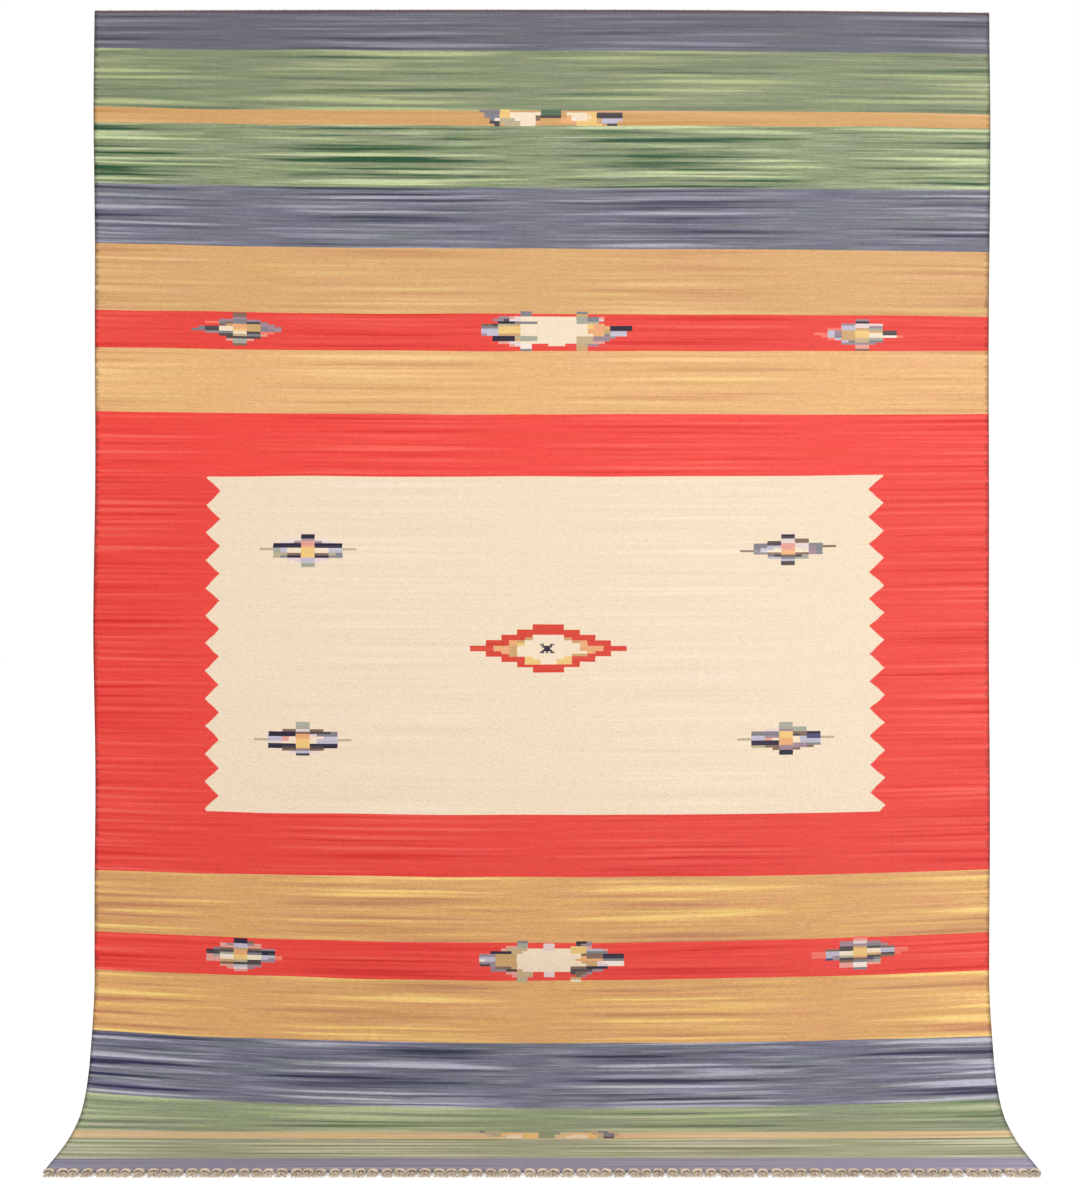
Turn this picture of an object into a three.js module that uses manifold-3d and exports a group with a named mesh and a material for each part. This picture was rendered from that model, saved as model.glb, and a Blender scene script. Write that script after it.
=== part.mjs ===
// A flat-woven dhurrie rug that hangs by its head, with its lower end swept forward along the floor.
// Millimetres, +Z up. The face looks towards -Y, the middle of the width is at X = 0 and the floor is Z = 0.
import * as THREE from 'three';
import { mergeVertices } from 'three/addons/utils/BufferGeometryUtils.js';
import Module from 'manifold-3d';

const wasm = await Module();
wasm.setup();

// ---- driving sizes ----

const WIDTH = 1400;
const HALF_WIDTH = WIDTH / 2;
const CLOTH_THICKNESS = 4;
const GAP = 0.3;

// The cloth's way down from the head: the length of each stretch, how far from hanging straight down it has
// turned at its end, and the rows of faces it takes.
const SWEEP = [
  { name: 'hang', length: 1515, endTurn: 0, rows: 18 },
  { name: 'crease', length: 32, endTurn: 14, rows: 2 },
  { name: 'lean', length: 96, endTurn: 24, rows: 3 },
  { name: 'turn', length: 63, endTurn: 52, rows: 4 },
  { name: 'sole', length: 51, endTurn: 78, rows: 4 },
  { name: 'settle', length: 111, endTurn: 90, rows: 4 },
  { name: 'foot', length: 100, endTurn: 90, rows: 1 },
];

// The woven edge on each side: a doubled edge warp makes a rounded rib.
const SELVEDGE = { ribThickness: 5, ribWidth: 7, roundStart: 2, fadeWidth: 16 };
const COLUMNS_BETWEEN_SELVEDGES = 20;

// Unevenness. The middle of the cloth is slacker than its selvedges and bellies forward above the turn.
const BELLY = { depth: 45, start: 560, full: 1380, fade: 1480, end: 1790 };
const COCKLE = { depth: 3.5, firstLength: 430, secondLength: 610, reach: 320 };
const WANDER = { left: 1.2, right: 1.2, leftLength: 760, rightLength: 980 };
const HEAD_DIP = { left: 1.5, right: 5, depth: 260 };

// Knotted warp ends. Each row sits in a narrow strip of bare warp, just off the cloth's end.
const KNOTS = 77;
const STRIP = { length: 4, thickness: 3.4 };
const LEAN = 0.22;

// Stations along a foot knot, forward from the strip: it lies level on the floor.
const FOOT_KNOT = [
  { name: 'root', along: -2.4, width: 6.0, height: 2.8 },
  { name: 'knotBack', along: 2.6, width: 10.2, height: 7.2 },
  { name: 'knotFront', along: 8.2, width: 10.2, height: 7.0 },
  { name: 'throat', along: 11.2, width: 6.6, height: 3.8 },
  { name: 'tailEnd', along: 18.0, width: 9.0, height: 2.2 },
];

// Stations along a head knot: back over the hanging edge and down behind the cloth.
const HEAD_KNOT = [
  { name: 'root', back: -0.6, up: 0, turn: 0, width: 6.0, thickness: 2.8 },
  { name: 'crown', back: 4.4, up: 0.2, turn: 30, width: 6.6, thickness: 3.4 },
  { name: 'knotTop', back: 8.2, up: -4.0, turn: 78, width: 10.2, thickness: 6.4 },
  { name: 'knotFoot', back: 8.4, up: -9.6, turn: 90, width: 10.2, thickness: 6.2 },
  { name: 'tailEnd', back: 7.2, up: -19.0, turn: 90, width: 7.6, thickness: 2.4 },
];

// ---- the line of the cloth ----

const radians = THREE.MathUtils.degToRad;
const smooth = THREE.MathUtils.smoothstep;

const WOVEN_LENGTH = SWEEP.reduce((sum, stretch) => sum + stretch.length, 0);
const WARP_ROWS = SWEEP.reduce((sum, stretch) => sum + stretch.rows, 0);

// How far down and how far forward the line through the cloth's middle has come at a length s from the head.
// Each stretch is a straight or an arc, so it is summed exactly.
function sweepAt(s) {
  let down = 0;
  let forward = 0;
  let left = s;
  let startTurn = 0;
  for (const stretch of SWEEP) {
    const run = Math.min(left, stretch.length);
    const a = radians(startTurn);
    const bend = radians(stretch.endTurn - startTurn) / stretch.length;
    const b = a + bend * run;
    if (Math.abs(bend) < 1e-9) {
      down += run * Math.cos(a);
      forward += run * Math.sin(a);
    } else {
      down += (Math.sin(b) - Math.sin(a)) / bend;
      forward += (Math.cos(a) - Math.cos(b)) / bend;
    }
    left -= run;
    if (left <= 0) break;
    startTurn = stretch.endTurn;
  }
  return { down, forward };
}

const FULL = sweepAt(WOVEN_LENGTH);
const FOOT_REACH = FULL.forward + GAP + STRIP.length + FOOT_KNOT.at(-1).along;
const HEAD_BACK = Math.max(...HEAD_KNOT.map(({ back, thickness }) => back + thickness / 2));
const HEAD_TOP = FULL.down + CLOTH_THICKNESS / 2;
const HANG_Y = (FOOT_REACH - HEAD_BACK) / 2;

// The slack middle: it swells forward down the hanging stretch and is taken up again in the turn.
function bellyAt(x, s) {
  const across = 1 - (x / HALF_WIDTH) ** 2;
  const along = smooth(s, BELLY.start, BELLY.full) * (1 - smooth(s, BELLY.fade, BELLY.end));
  return BELLY.depth * across * along;
}

// Slight cockling beside each selvedge, gone at the head and at the turn.
function cockleAt(x, s) {
  const nearEdge = smooth(Math.abs(x), HALF_WIDTH - COCKLE.reach, HALF_WIDTH);
  const hanging = smooth(s, 0, 200) * (1 - smooth(s, SWEEP[0].length - 260, SWEEP[0].length));
  const length = x < 0 ? COCKLE.firstLength : COCKLE.secondLength;
  return COCKLE.depth * nearEdge * hanging * Math.sin((2 * Math.PI * s) / length);
}

// The selvedges wander a little in and out along the hanging stretch.
function wanderAt(x, s) {
  const nearEdge = (x / HALF_WIDTH) ** 4;
  const side = x < 0 ? WANDER.left : WANDER.right;
  const length = x < 0 ? WANDER.leftLength : WANDER.rightLength;
  const hanging = 1 - smooth(s, SWEEP[0].length - 400, SWEEP[0].length);
  return Math.sign(x) * side * nearEdge * hanging * Math.sin((2 * Math.PI * s) / length);
}

// The hanging edge isn't quite level: it dips towards both corners, more on one side.
function headDipAt(x, s) {
  const corner = x < 0 ? HEAD_DIP.left : HEAD_DIP.right;
  return corner * (x / HALF_WIDTH) ** 2 * (1 - smooth(s, 0, HEAD_DIP.depth));
}

// A point of the surface midway through the cloth.
function clothPoint(x, s) {
  const { down, forward } = sweepAt(s);
  return new THREE.Vector3(
    x + wanderAt(x, s),
    HANG_Y - forward - bellyAt(x, s) - cockleAt(x, s),
    HEAD_TOP - down - headDipAt(x, s),
  );
}

// The way the face looks there.
function clothNormal(x, s) {
  const step = 0.5;
  const s0 = Math.max(s - step, 0);
  const s1 = Math.min(s + step, WOVEN_LENGTH);
  const across = clothPoint(x + step, s).sub(clothPoint(x - step, s));
  const along = clothPoint(x, s1).sub(clothPoint(x, s0));
  return along.cross(across).normalize();
}

// ---- geometry helpers ----

// A box geometry as one closed body with shared vertices, moved point by point.
function shapedBox(columns, rows, layers, place) {
  const box = new THREE.BoxGeometry(2, 2, 2, columns, rows, layers);
  box.deleteAttribute('normal');
  box.deleteAttribute('uv');
  const body = mergeVertices(box, 1e-4);
  const position = body.getAttribute('position');
  const point = new THREE.Vector3();
  for (let i = 0; i < position.count; i += 1) {
    point.fromBufferAttribute(position, i);
    const column = Math.round(((point.x + 1) / 2) * columns);
    const row = Math.round(((1 - point.y) / 2) * rows);
    const moved = place(column, row, point.z);
    position.setXYZ(i, moved.x, moved.y, moved.z);
  }
  return body;
}

function solidOf(geometry) {
  const vertProperties = new Float32Array(geometry.getAttribute('position').array);
  const triVerts = new Uint32Array(geometry.index.array);
  return new wasm.Manifold(new wasm.Mesh({ numProp: 3, vertProperties, triVerts }));
}

function geometryOf(solid) {
  const mesh = solid.getMesh();
  const geometry = new THREE.BufferGeometry();
  geometry.setAttribute('position', new THREE.BufferAttribute(mesh.vertProperties, 3));
  geometry.setIndex(new THREE.BufferAttribute(mesh.triVerts, 1));
  return geometry;
}

// ---- woven cloth ----

// Lengths from the head at which the rows of faces meet.
function rowLengths() {
  const lengths = [0];
  for (const stretch of SWEEP) {
    const start = lengths.at(-1);
    for (let i = 1; i <= stretch.rows; i += 1) {
      lengths.push(start + (stretch.length * i) / stretch.rows);
    }
  }
  return lengths;
}

// Places across the width at which the columns of faces meet, closer together on the selvedge ribs.
function columnPlaces() {
  const { ribWidth, roundStart, fadeWidth } = SELVEDGE;
  const rib = [0, roundStart, ribWidth, fadeWidth];
  const inner = HALF_WIDTH - fadeWidth;
  const places = rib.map((inset) => inset - HALF_WIDTH);
  for (let i = 1; i < COLUMNS_BETWEEN_SELVEDGES; i += 1) {
    places.push(-inner + (2 * inner * i) / COLUMNS_BETWEEN_SELVEDGES);
  }
  return places.concat(rib.map((inset) => HALF_WIDTH - inset).reverse());
}

// Half the thickness at a distance in from the selvedge: the rib is rounded off at its outer edge.
function halfThickness(inset) {
  const { ribThickness, roundStart, ribWidth, fadeWidth } = SELVEDGE;
  if (inset <= 0) return ribThickness / 4;
  if (inset <= roundStart) return (ribThickness / 2) * 0.85;
  if (inset < fadeWidth) {
    return THREE.MathUtils.lerp(ribThickness, CLOTH_THICKNESS, smooth(inset, ribWidth, fadeWidth)) / 2;
  }
  return CLOTH_THICKNESS / 2;
}

function wovenCloth() {
  const lengths = rowLengths();
  const places = columnPlaces();
  return shapedBox(places.length - 1, WARP_ROWS, 1, (column, row, side) => {
    const x = places[column];
    const s = lengths[row];
    const out = halfThickness(HALF_WIDTH - Math.abs(x)) * side;
    const point = clothPoint(x, s).addScaledVector(clothNormal(x, s), out);
    // Where the cloth lies on the floor, the ribs are pressed level with its underside.
    point.z = Math.max(point.z, 0);
    return point;
  });
}

// ---- knotted warp ends ----

// Middle of each knot across the width, a little unevenly tied.
function knotPlaces() {
  const pitch = WIDTH / KNOTS;
  const places = [];
  for (let i = 0; i < KNOTS; i += 1) {
    const uneven = 1.3 * Math.sin(i * 2.4) + 0.8 * Math.sin(i * 5.1);
    places.push({ x: -HALF_WIDTH + pitch * (i + 0.5) + uneven, lean: LEAN * Math.sin(i * 1.7 + 0.6) });
  }
  return places;
}

function footStrip() {
  const start = FULL.forward + GAP;
  return shapedBox(1, 1, 1, (column, row, side) => new THREE.Vector3(
    (column * 2 - 1) * HALF_WIDTH,
    HANG_Y - start - row * STRIP.length,
    side > 0 ? STRIP.thickness : 0,
  ));
}

function footKnot({ x, lean }) {
  const start = FULL.forward + GAP + STRIP.length;
  return shapedBox(1, FOOT_KNOT.length - 1, 1, (column, row, side) => {
    const station = FOOT_KNOT[row];
    const aside = lean * Math.max(station.along, 0);
    return new THREE.Vector3(
      x + aside + (column - 0.5) * station.width,
      HANG_Y - start - station.along,
      side > 0 ? station.height : 0,
    );
  });
}

function headStrip() {
  const places = columnPlaces();
  return shapedBox(places.length - 1, 1, 1, (column, row, side) => new THREE.Vector3(
    places[column],
    HANG_Y - (side * STRIP.thickness) / 2,
    HEAD_TOP - headDipAt(places[column], 0) + GAP + (1 - row) * STRIP.length,
  ));
}

function headKnot({ x, lean }) {
  const root = HEAD_TOP - headDipAt(x, 0) + GAP + STRIP.length / 2;
  return shapedBox(1, HEAD_KNOT.length - 1, 1, (column, row, side) => {
    const station = HEAD_KNOT[row];
    const outward = (side * station.thickness) / 2;
    const turn = radians(station.turn);
    const aside = lean * Math.max(-station.up, 0);
    return new THREE.Vector3(
      x + aside + (0.5 - column) * station.width,
      HANG_Y + station.back + outward * Math.sin(turn),
      root + station.up + outward * Math.cos(turn),
    );
  });
}

function rowOfKnots(strip, knot) {
  const parts = knotPlaces().map((place) => solidOf(knot(place)));
  return geometryOf(wasm.Manifold.union([solidOf(strip()), ...parts]));
}

// ---- finishes ----

const wovenWool = new THREE.MeshStandardMaterial({ color: 0xd9a05f, roughness: 0.95, metalness: 0 });
const warpCotton = new THREE.MeshStandardMaterial({ color: 0xd6c4a8, roughness: 0.95, metalness: 0 });

function piece(name, geometry, material) {
  const mesh = new THREE.Mesh(geometry, material);
  mesh.name = name;
  return mesh;
}

// ---- the rug ----

const rug = new THREE.Group();
rug.add(piece('rug_cloth', wovenCloth(), wovenWool));
rug.add(piece('foot_knots', rowOfKnots(footStrip, footKnot), warpCotton));
rug.add(piece('head_knots', rowOfKnots(headStrip, headKnot), warpCotton));

export default rug;
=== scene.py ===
"""A flat-woven dhurrie rug, hung by its upper edge, with its foot swept forward on the floor.

The woven cloth carries its stripes, its field and its stepped motifs. The warps are knotted off at both ends:
the foot's knots lie on the floor, and the head's are turned back behind the edge that the rug hangs by.
"""

import logging
import math
import random
from collections.abc import Iterable, Sequence
from dataclasses import dataclass, field
from enum import Enum

import bmesh
import bpy
from mathutils import Matrix, Vector, noise


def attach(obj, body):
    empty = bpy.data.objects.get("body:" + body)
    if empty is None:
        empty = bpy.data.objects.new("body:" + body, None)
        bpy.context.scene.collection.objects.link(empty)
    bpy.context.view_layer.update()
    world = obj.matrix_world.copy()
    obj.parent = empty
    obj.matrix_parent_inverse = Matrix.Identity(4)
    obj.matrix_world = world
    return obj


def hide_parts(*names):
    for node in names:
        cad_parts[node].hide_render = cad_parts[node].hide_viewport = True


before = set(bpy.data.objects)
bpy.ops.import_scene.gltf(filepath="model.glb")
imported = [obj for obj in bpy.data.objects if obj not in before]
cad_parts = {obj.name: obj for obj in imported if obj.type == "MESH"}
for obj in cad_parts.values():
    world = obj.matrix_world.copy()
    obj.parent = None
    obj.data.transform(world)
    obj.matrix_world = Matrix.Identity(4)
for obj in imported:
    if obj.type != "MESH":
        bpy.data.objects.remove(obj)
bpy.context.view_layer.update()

LOG = logging.getLogger("dhurrie_rug")
MM = 0.001

WIDTH = 1400.0
HALF_WIDTH = WIDTH / 2
LENGTH = 1968.0
CLOTH_THICKNESS = 4.0

Shade = tuple[int, int, int]
Span = tuple[float, float]


def smooth(value: float, low: float, high: float) -> float:
    """Eases from 0 at low to 1 at high.

    Args:
        value: Where to read the curve.
        low: Where it leaves 0.
        high: Where it reaches 1.

    Returns:
        The eased share, from 0 to 1.
    """
    share = min(max((value - low) / (high - low), 0.0), 1.0)
    return share * share * (3.0 - 2.0 * share)


def rounded(inset: float, radius: float, least: float) -> float:
    """Rounds an edge of the cloth.

    Args:
        inset: The distance in from the edge.
        radius: How far in the rounding reaches.
        least: The share of the thickness that is left at the very edge.

    Returns:
        The share of the thickness there, up to 1.
    """
    share = 1 - min(inset / radius, 1.0)
    return least + (1 - least) * math.sqrt(max(1 - share * share, 0.0))


def linear(shade: Shade, tone: float = 1.0) -> tuple[float, float, float]:
    """Turns a colour in 0 to 255 display steps into linear light.

    Args:
        shade: The red, green and blue steps.
        tone: How much light to leave in it.

    Returns:
        The three linear values.
    """
    steps = [step / 255.0 for step in shade]
    red, green, blue = (v / 12.92 if v <= 0.04045 else ((v + 0.055) / 1.055) ** 2.4 for v in steps)
    return tone * red, tone * green, tone * blue


def opaque(shade: Shade, tone: float = 1.0) -> tuple[float, float, float, float]:
    """The same, as a colour that hides what is behind it."""
    return *linear(shade, tone), 1.0


# ---------------------------------------------------------------- the cloth's shape


@dataclass(frozen=True)
class Stretch:
    """One stretch of the cloth's line: a straight or an arc.

    Attributes:
        name: What the cloth does there.
        length: Its length along the warp, in millimetres.
        end_turn: How far the line has turned from straight down at its end, in degrees.
        row_gap: The most that two rows of the mesh may be apart there, in millimetres.
    """

    name: str
    length: float
    end_turn: float
    row_gap: float


@dataclass(frozen=True)
class ClothShape:
    """The hang of the cloth: down from its upper edge, then swept forward to lie on the floor.

    Sizes are in millimetres, and a span says where along the warp a change begins and where it is complete.

    Attributes:
        sweep: The cloth's line down its middle.
        hang_y: How far behind the origin it hangs.
        belly_depth: How far its slack middle stands forward.
        belly_swell: Where the belly fills.
        belly_ebb: Where it empties.
        cockle_depth: How far the selvedges wave to the front and back.
        cockle_reach: How far in from the selvedge the waves go.
        cockle_swell: Where the waves begin.
        cockle_ebb: How far above the crease they begin to die down.
        left_cockle: The length of a wave on the left.
        right_cockle: The same on the right.
        wander_depth: How far the selvedges stray sideways.
        wander_ebb: How far above the crease they stop straying.
        left_wander: The length of a stray on the left.
        right_wander: The same on the right.
        left_dip: How far the upper edge sags at its left end.
        right_dip: The same at its right end.
        dip_reach: How far down the sag is felt.
        ripple_depth: How high the fine ripples are.
        ripple_size: How wide and how tall they are.
        ripple_seed: Which ripples they are.
        ripple_swell: Where they begin.
        ripple_ebb: Where they die down.
        cord_fill: How much fuller the selvedge cord is than the cloth.
        cord_fade: Where the cord thins into the cloth, in from the selvedge.
        side_rounding: How far in the selvedge is rounded.
        side_edge: The share of the thickness at its very edge.
        end_rounding: How far in the first and last picks are rounded.
        end_edge: The share of the thickness at their very edge.
    """

    sweep: tuple[Stretch, ...] = (
        Stretch("hang", 1515.0, 0.0, 15.0),
        Stretch("crease", 32.0, 14.0, 8.0),
        Stretch("lean", 96.0, 24.0, 16.0),
        Stretch("turn", 63.0, 52.0, 8.0),
        Stretch("sole", 51.0, 78.0, 7.0),
        Stretch("settle", 111.0, 90.0, 14.0),
        Stretch("foot", 100.0, 90.0, 25.0),
    )
    hang_y: float = 170.2
    belly_depth: float = 45.0
    belly_swell: Span = (560.0, 1380.0)
    belly_ebb: Span = (1480.0, 1790.0)
    cockle_depth: float = 3.5
    cockle_reach: float = 320.0
    cockle_swell: float = 200.0
    cockle_ebb: float = 260.0
    left_cockle: float = 430.0
    right_cockle: float = 610.0
    wander_depth: float = 1.2
    wander_ebb: float = 400.0
    left_wander: float = 760.0
    right_wander: float = 980.0
    left_dip: float = 1.5
    right_dip: float = 5.0
    dip_reach: float = 260.0
    ripple_depth: float = 0.7
    ripple_size: Span = (190.0, 62.0)
    ripple_seed: float = 4.0
    ripple_swell: float = 60.0
    ripple_ebb: Span = (1500.0, 1700.0)
    cord_fill: float = 1.0
    cord_fade: Span = (6.0, 16.0)
    side_rounding: float = 2.4
    side_edge: float = 0.3
    end_rounding: float = 1.6
    end_edge: float = 0.6

    def line_at(self, run: float) -> tuple[float, float]:
        """Follows the cloth's line down its middle.

        Args:
            run: The length along the warp from the upper edge.

        Returns:
            How far down and how far forward that point is.
        """
        down = forward = start = 0.0
        left = run
        for stretch in self.sweep:
            step = min(left, stretch.length)
            bend = math.radians(stretch.end_turn - start) / stretch.length
            turn = math.radians(start)
            if stretch.end_turn == start:
                down += step * math.cos(turn)
                forward += step * math.sin(turn)
            else:
                down += (math.sin(turn + bend * step) - math.sin(turn)) / bend
                forward += (math.cos(turn) - math.cos(turn + bend * step)) / bend
            left -= step
            if left <= 0.0:
                break
            start = stretch.end_turn
        return down, forward

    @property
    def head_top(self) -> float:
        """The height of the cloth's upper edge."""
        return self.line_at(LENGTH)[0] + CLOTH_THICKNESS / 2

    @property
    def hang_length(self) -> float:
        """The length that hangs straight."""
        return self.sweep[0].length

    def forward_bulge(self, across: float, run: float) -> float:
        """How far the belly, the cockled edges and the fine ripples stand forward of the cloth's line.

        Args:
            across: The distance right of the middle.
            run: The length along the warp.

        Returns:
            The distance towards the front.
        """
        side = across / HALF_WIDTH
        full = smooth(run, *self.belly_swell) * (1 - smooth(run, *self.belly_ebb))
        belly = self.belly_depth * (1 - side * side) * full
        free = 1 - smooth(run, self.hang_length - self.cockle_ebb, self.hang_length)
        hang = smooth(run, 0, self.cockle_swell) * free
        edge = smooth(abs(across), HALF_WIDTH - self.cockle_reach, HALF_WIDTH)
        wave = self.left_cockle if across < 0 else self.right_cockle
        cockle = self.cockle_depth * edge * hang * math.sin(2 * math.pi * run / wave)
        loose = smooth(run, 0, self.ripple_swell) * (1 - smooth(run, *self.ripple_ebb))
        wide, tall = self.ripple_size
        ripple = noise.noise(Vector((across / wide, run / tall, self.ripple_seed)))
        return belly + cockle + self.ripple_depth * loose * ripple

    def middle(self, across: float, run: float) -> Vector:
        """A point halfway through the cloth.

        Args:
            across: The distance right of the middle, measured on the flat cloth.
            run: The length along the warp from the upper edge.

        Returns:
            The point, in millimetres.
        """
        side = across / HALF_WIDTH
        down, forward = self.line_at(run)
        wave = self.left_wander if across < 0 else self.right_wander
        deepest = self.left_dip if across < 0 else self.right_dip
        free = 1 - smooth(run, self.hang_length - self.wander_ebb, self.hang_length)
        outward = math.copysign(self.wander_depth, across) * side**4
        wander = outward * free * math.sin(2 * math.pi * run / wave)
        dip = deepest * side * side * (1 - smooth(run, 0, self.dip_reach))
        bulge = self.forward_bulge(across, run)
        return Vector((across + wander, self.hang_y - forward - bulge, self.head_top - down - dip))

    def facing(self, across: float, run: float) -> Vector:
        """The way the face side looks at a point: forward on the hanging part, up on the foot.

        Args:
            across: The distance right of the middle.
            run: The length along the warp.

        Returns:
            A unit vector.
        """
        step = 1.0
        low, high = max(run - step, 0.0), min(run + step, LENGTH)
        along = self.middle(across, high) - self.middle(across, low)
        right = self.middle(across + step, run) - self.middle(across - step, run)
        return along.cross(right).normalized()

    def thickness(self, across: float, run: float) -> float:
        """The cloth's thickness: even, with a fuller selvedge cord and rounded edges.

        Args:
            across: The distance right of the middle.
            run: The length along the warp.

        Returns:
            The thickness at that point.
        """
        inset = HALF_WIDTH - abs(across)
        cord = self.cord_fill * (1 - smooth(inset, *self.cord_fade))
        side = rounded(inset, self.side_rounding, self.side_edge)
        end = rounded(min(run, LENGTH - run), self.end_rounding, self.end_edge)
        return (CLOTH_THICKNESS + cord) * side * end


# ---------------------------------------------------------------- yarns, bands and motifs


@dataclass(frozen=True)
class Dye:
    """A dye lot: the yarn's usual colour, with the darker and lighter streaks that the dye bath left in it.

    Attributes:
        usual: The colour that most of the yarn has.
        dark: The darkest streaks.
        light: The palest streaks.
        unevenness: How strongly the streaks show.
        lot: How tall a streak of one shade is, in millimetres.
    """

    usual: Shade
    dark: Shade
    light: Shade
    unevenness: float
    lot: float = 6.5


class Yarn(Enum):
    """The dyed yarns of the rug."""

    SLATE_BLUE = Dye((111, 111, 122), (78, 77, 91), (150, 148, 160), 0.75)
    STEEL_BLUE = Dye((118, 118, 130), (70, 70, 90), (171, 171, 182), 0.95, 6.0)
    STORM_BLUE = Dye((110, 111, 126), (52, 52, 78), (178, 178, 190), 1.15, 9.4)
    HEATHER = Dye((134, 134, 154), (114, 112, 132), (156, 156, 170), 0.5)
    LEAF = Dye((138, 147, 116), (80, 106, 78), (184, 192, 142), 0.8, 8.0)
    SAGE = Dye((138, 148, 116), (48, 84, 56), (198, 210, 162), 1.1, 7.5)
    FERN = Dye((136, 149, 118), (96, 114, 84), (174, 184, 144), 1.2, 9.0)
    PALE_SAGE = Dye((146, 153, 125), (114, 120, 90), (182, 186, 158), 1.2, 9.0)
    APRICOT = Dye((201, 156, 101), (188, 139, 88), (214, 173, 124), 0.6)
    HONEY = Dye((191, 169, 128), (173, 143, 101), (209, 190, 150), 0.8)
    SAND = Dye((211, 165, 112), (198, 146, 100), (225, 186, 127), 0.8, 7.0)
    GOLD_SAND = Dye((208, 158, 102), (186, 130, 92), (234, 196, 120), 0.9, 8.8)
    VERMILION = Dye((226, 70, 62), (206, 46, 42), (236, 96, 85), 0.62, 6.0)
    CREAM = Dye((228, 209, 183), (220, 199, 173), (235, 218, 195), 0.35)
    NAVY = Dye((44, 38, 56), (26, 22, 34), (70, 64, 86), 0.5)
    STEEL_NAVY = Dye((72, 72, 108), (56, 54, 84), (96, 96, 130), 0.5)
    DARK_SLATE = Dye((76, 68, 70), (54, 48, 50), (104, 96, 98), 0.5)
    GREY = Dye((124, 120, 126), (100, 96, 104), (148, 144, 150), 0.4)
    GREY_GREEN = Dye((158, 158, 144), (136, 136, 122), (178, 178, 164), 0.4)
    LAVENDER = Dye((180, 174, 190), (156, 150, 168), (200, 196, 208), 0.4)
    LILAC = Dye((216, 196, 194), (196, 172, 172), (230, 214, 212), 0.4)
    MAUVE = Dye((150, 126, 136), (126, 102, 112), (172, 150, 160), 0.4)
    BROWN = Dye((124, 98, 84), (100, 76, 64), (146, 120, 106), 0.4)
    WHITE = Dye((230, 216, 204), (214, 198, 186), (238, 228, 218), 0.3)
    BLUSH = Dye((216, 150, 138), (200, 126, 116), (226, 172, 160), 0.4)
    ROSE = Dye((230, 112, 98), (212, 90, 78), (240, 136, 122), 0.4)
    ORANGE = Dye((220, 160, 112), (206, 140, 90), (228, 178, 134), 0.4)
    GOLD = Dye((224, 186, 118), (210, 166, 96), (232, 202, 142), 0.4)
    OCHRE = Dye((192, 154, 106), (172, 132, 86), (208, 174, 128), 0.4)
    TAN = Dye((186, 162, 126), (166, 142, 106), (202, 180, 146), 0.4)
    OLIVE = Dye((176, 164, 132), (158, 146, 114), (192, 180, 150), 0.3)
    RED = Dye((204, 66, 52), (184, 48, 38), (218, 90, 74), 0.5)
    MOSS = Dye((84, 106, 82), (64, 84, 62), (106, 128, 100), 0.4)


CHART_YARNS: dict[str, Yarn] = {
    "N": Yarn.NAVY,
    "U": Yarn.STEEL_NAVY,
    "D": Yarn.DARK_SLATE,
    "S": Yarn.GREY,
    "F": Yarn.GREY_GREEN,
    "L": Yarn.LAVENDER,
    "V": Yarn.LILAC,
    "M": Yarn.MAUVE,
    "B": Yarn.BROWN,
    "C": Yarn.CREAM,
    "W": Yarn.WHITE,
    "P": Yarn.BLUSH,
    "r": Yarn.ROSE,
    "O": Yarn.ORANGE,
    "Y": Yarn.GOLD,
    "T": Yarn.OCHRE,
    "G": Yarn.TAN,
    "K": Yarn.OLIVE,
    "R": Yarn.RED,
    "E": Yarn.MOSS,
    "g": Yarn.LEAF,
}


@dataclass(frozen=True)
class Band:
    """One band of weft across the rug. The beat was never quite square, so its lower edge bows.

    Attributes:
        name: The band's name.
        yarn: Its weft.
        left: The length along the warp to its lower edge at the left selvedge, in millimetres.
        middle: The same at the middle of the rug.
        right: The same at the right selvedge.
        tone: How much light it gives back beside other bands of the same yarn; near the foot it is raised as
            painted light, where more light falls.
    """

    name: str
    yarn: Yarn
    left: float
    middle: float
    right: float
    tone: float = 1.0


# Near the foot the tones are raised as painted light, since more light falls there.
BANDS: tuple[Band, ...] = (
    Band("head blue", Yarn.SLATE_BLUE, 59, 64, 65, 0.8),
    Band("head sage", Yarn.LEAF, 152, 158, 162, 0.82),
    Band("head pinstripe", Yarn.APRICOT, 176, 181, 185, 0.95),
    Band("second sage", Yarn.SAGE, 270, 279, 282, 0.89),
    Band("inner blue", Yarn.STEEL_BLUE, 364, 374, 378, 0.86),
    Band("upper sand", Yarn.SAND, 469, 476, 480, 0.92),
    Band("upper red stripe", Yarn.VERMILION, 528, 534, 534, 0.93),
    Band("second sand", Yarn.SAND, 628, 633, 632, 1.06),
    Band("upper red border", Yarn.VERMILION, 729, 730, 726),
    Band("field", Yarn.CREAM, 1250, 1254, 1249, 0.98),
    Band("lower red border", Yarn.VERMILION, 1345, 1350, 1344, 0.93),
    Band("third sand", Yarn.GOLD_SAND, 1441, 1451, 1442),
    Band("lower red stripe", Yarn.VERMILION, 1500, 1509, 1502),
    Band("lower sand", Yarn.GOLD_SAND, 1595, 1608, 1604, 1.07),
    Band("foot blue", Yarn.STORM_BLUE, 1692, 1722, 1706, 1.08),
    Band("third sage", Yarn.FERN, 1788, 1796, 1788, 1.1),
    Band("foot pinstripe", Yarn.HONEY, 1816, 1821, 1814, 1.24),
    Band("foot sage", Yarn.PALE_SAGE, 1911, 1911, 1906, 1.14),
    Band("end blue", Yarn.HEATHER, LENGTH, LENGTH, LENGTH, 1.04),
)
FIELD_AT = next(index for index, band in enumerate(BANDS) if band.yarn is Yarn.CREAM)
FIELD_TOP = BANDS[FIELD_AT - 1].middle
FIELD_FOOT = BANDS[FIELD_AT].middle

# How much light the red beside the field gives back.
PANEL_TONE = 0.95

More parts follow.
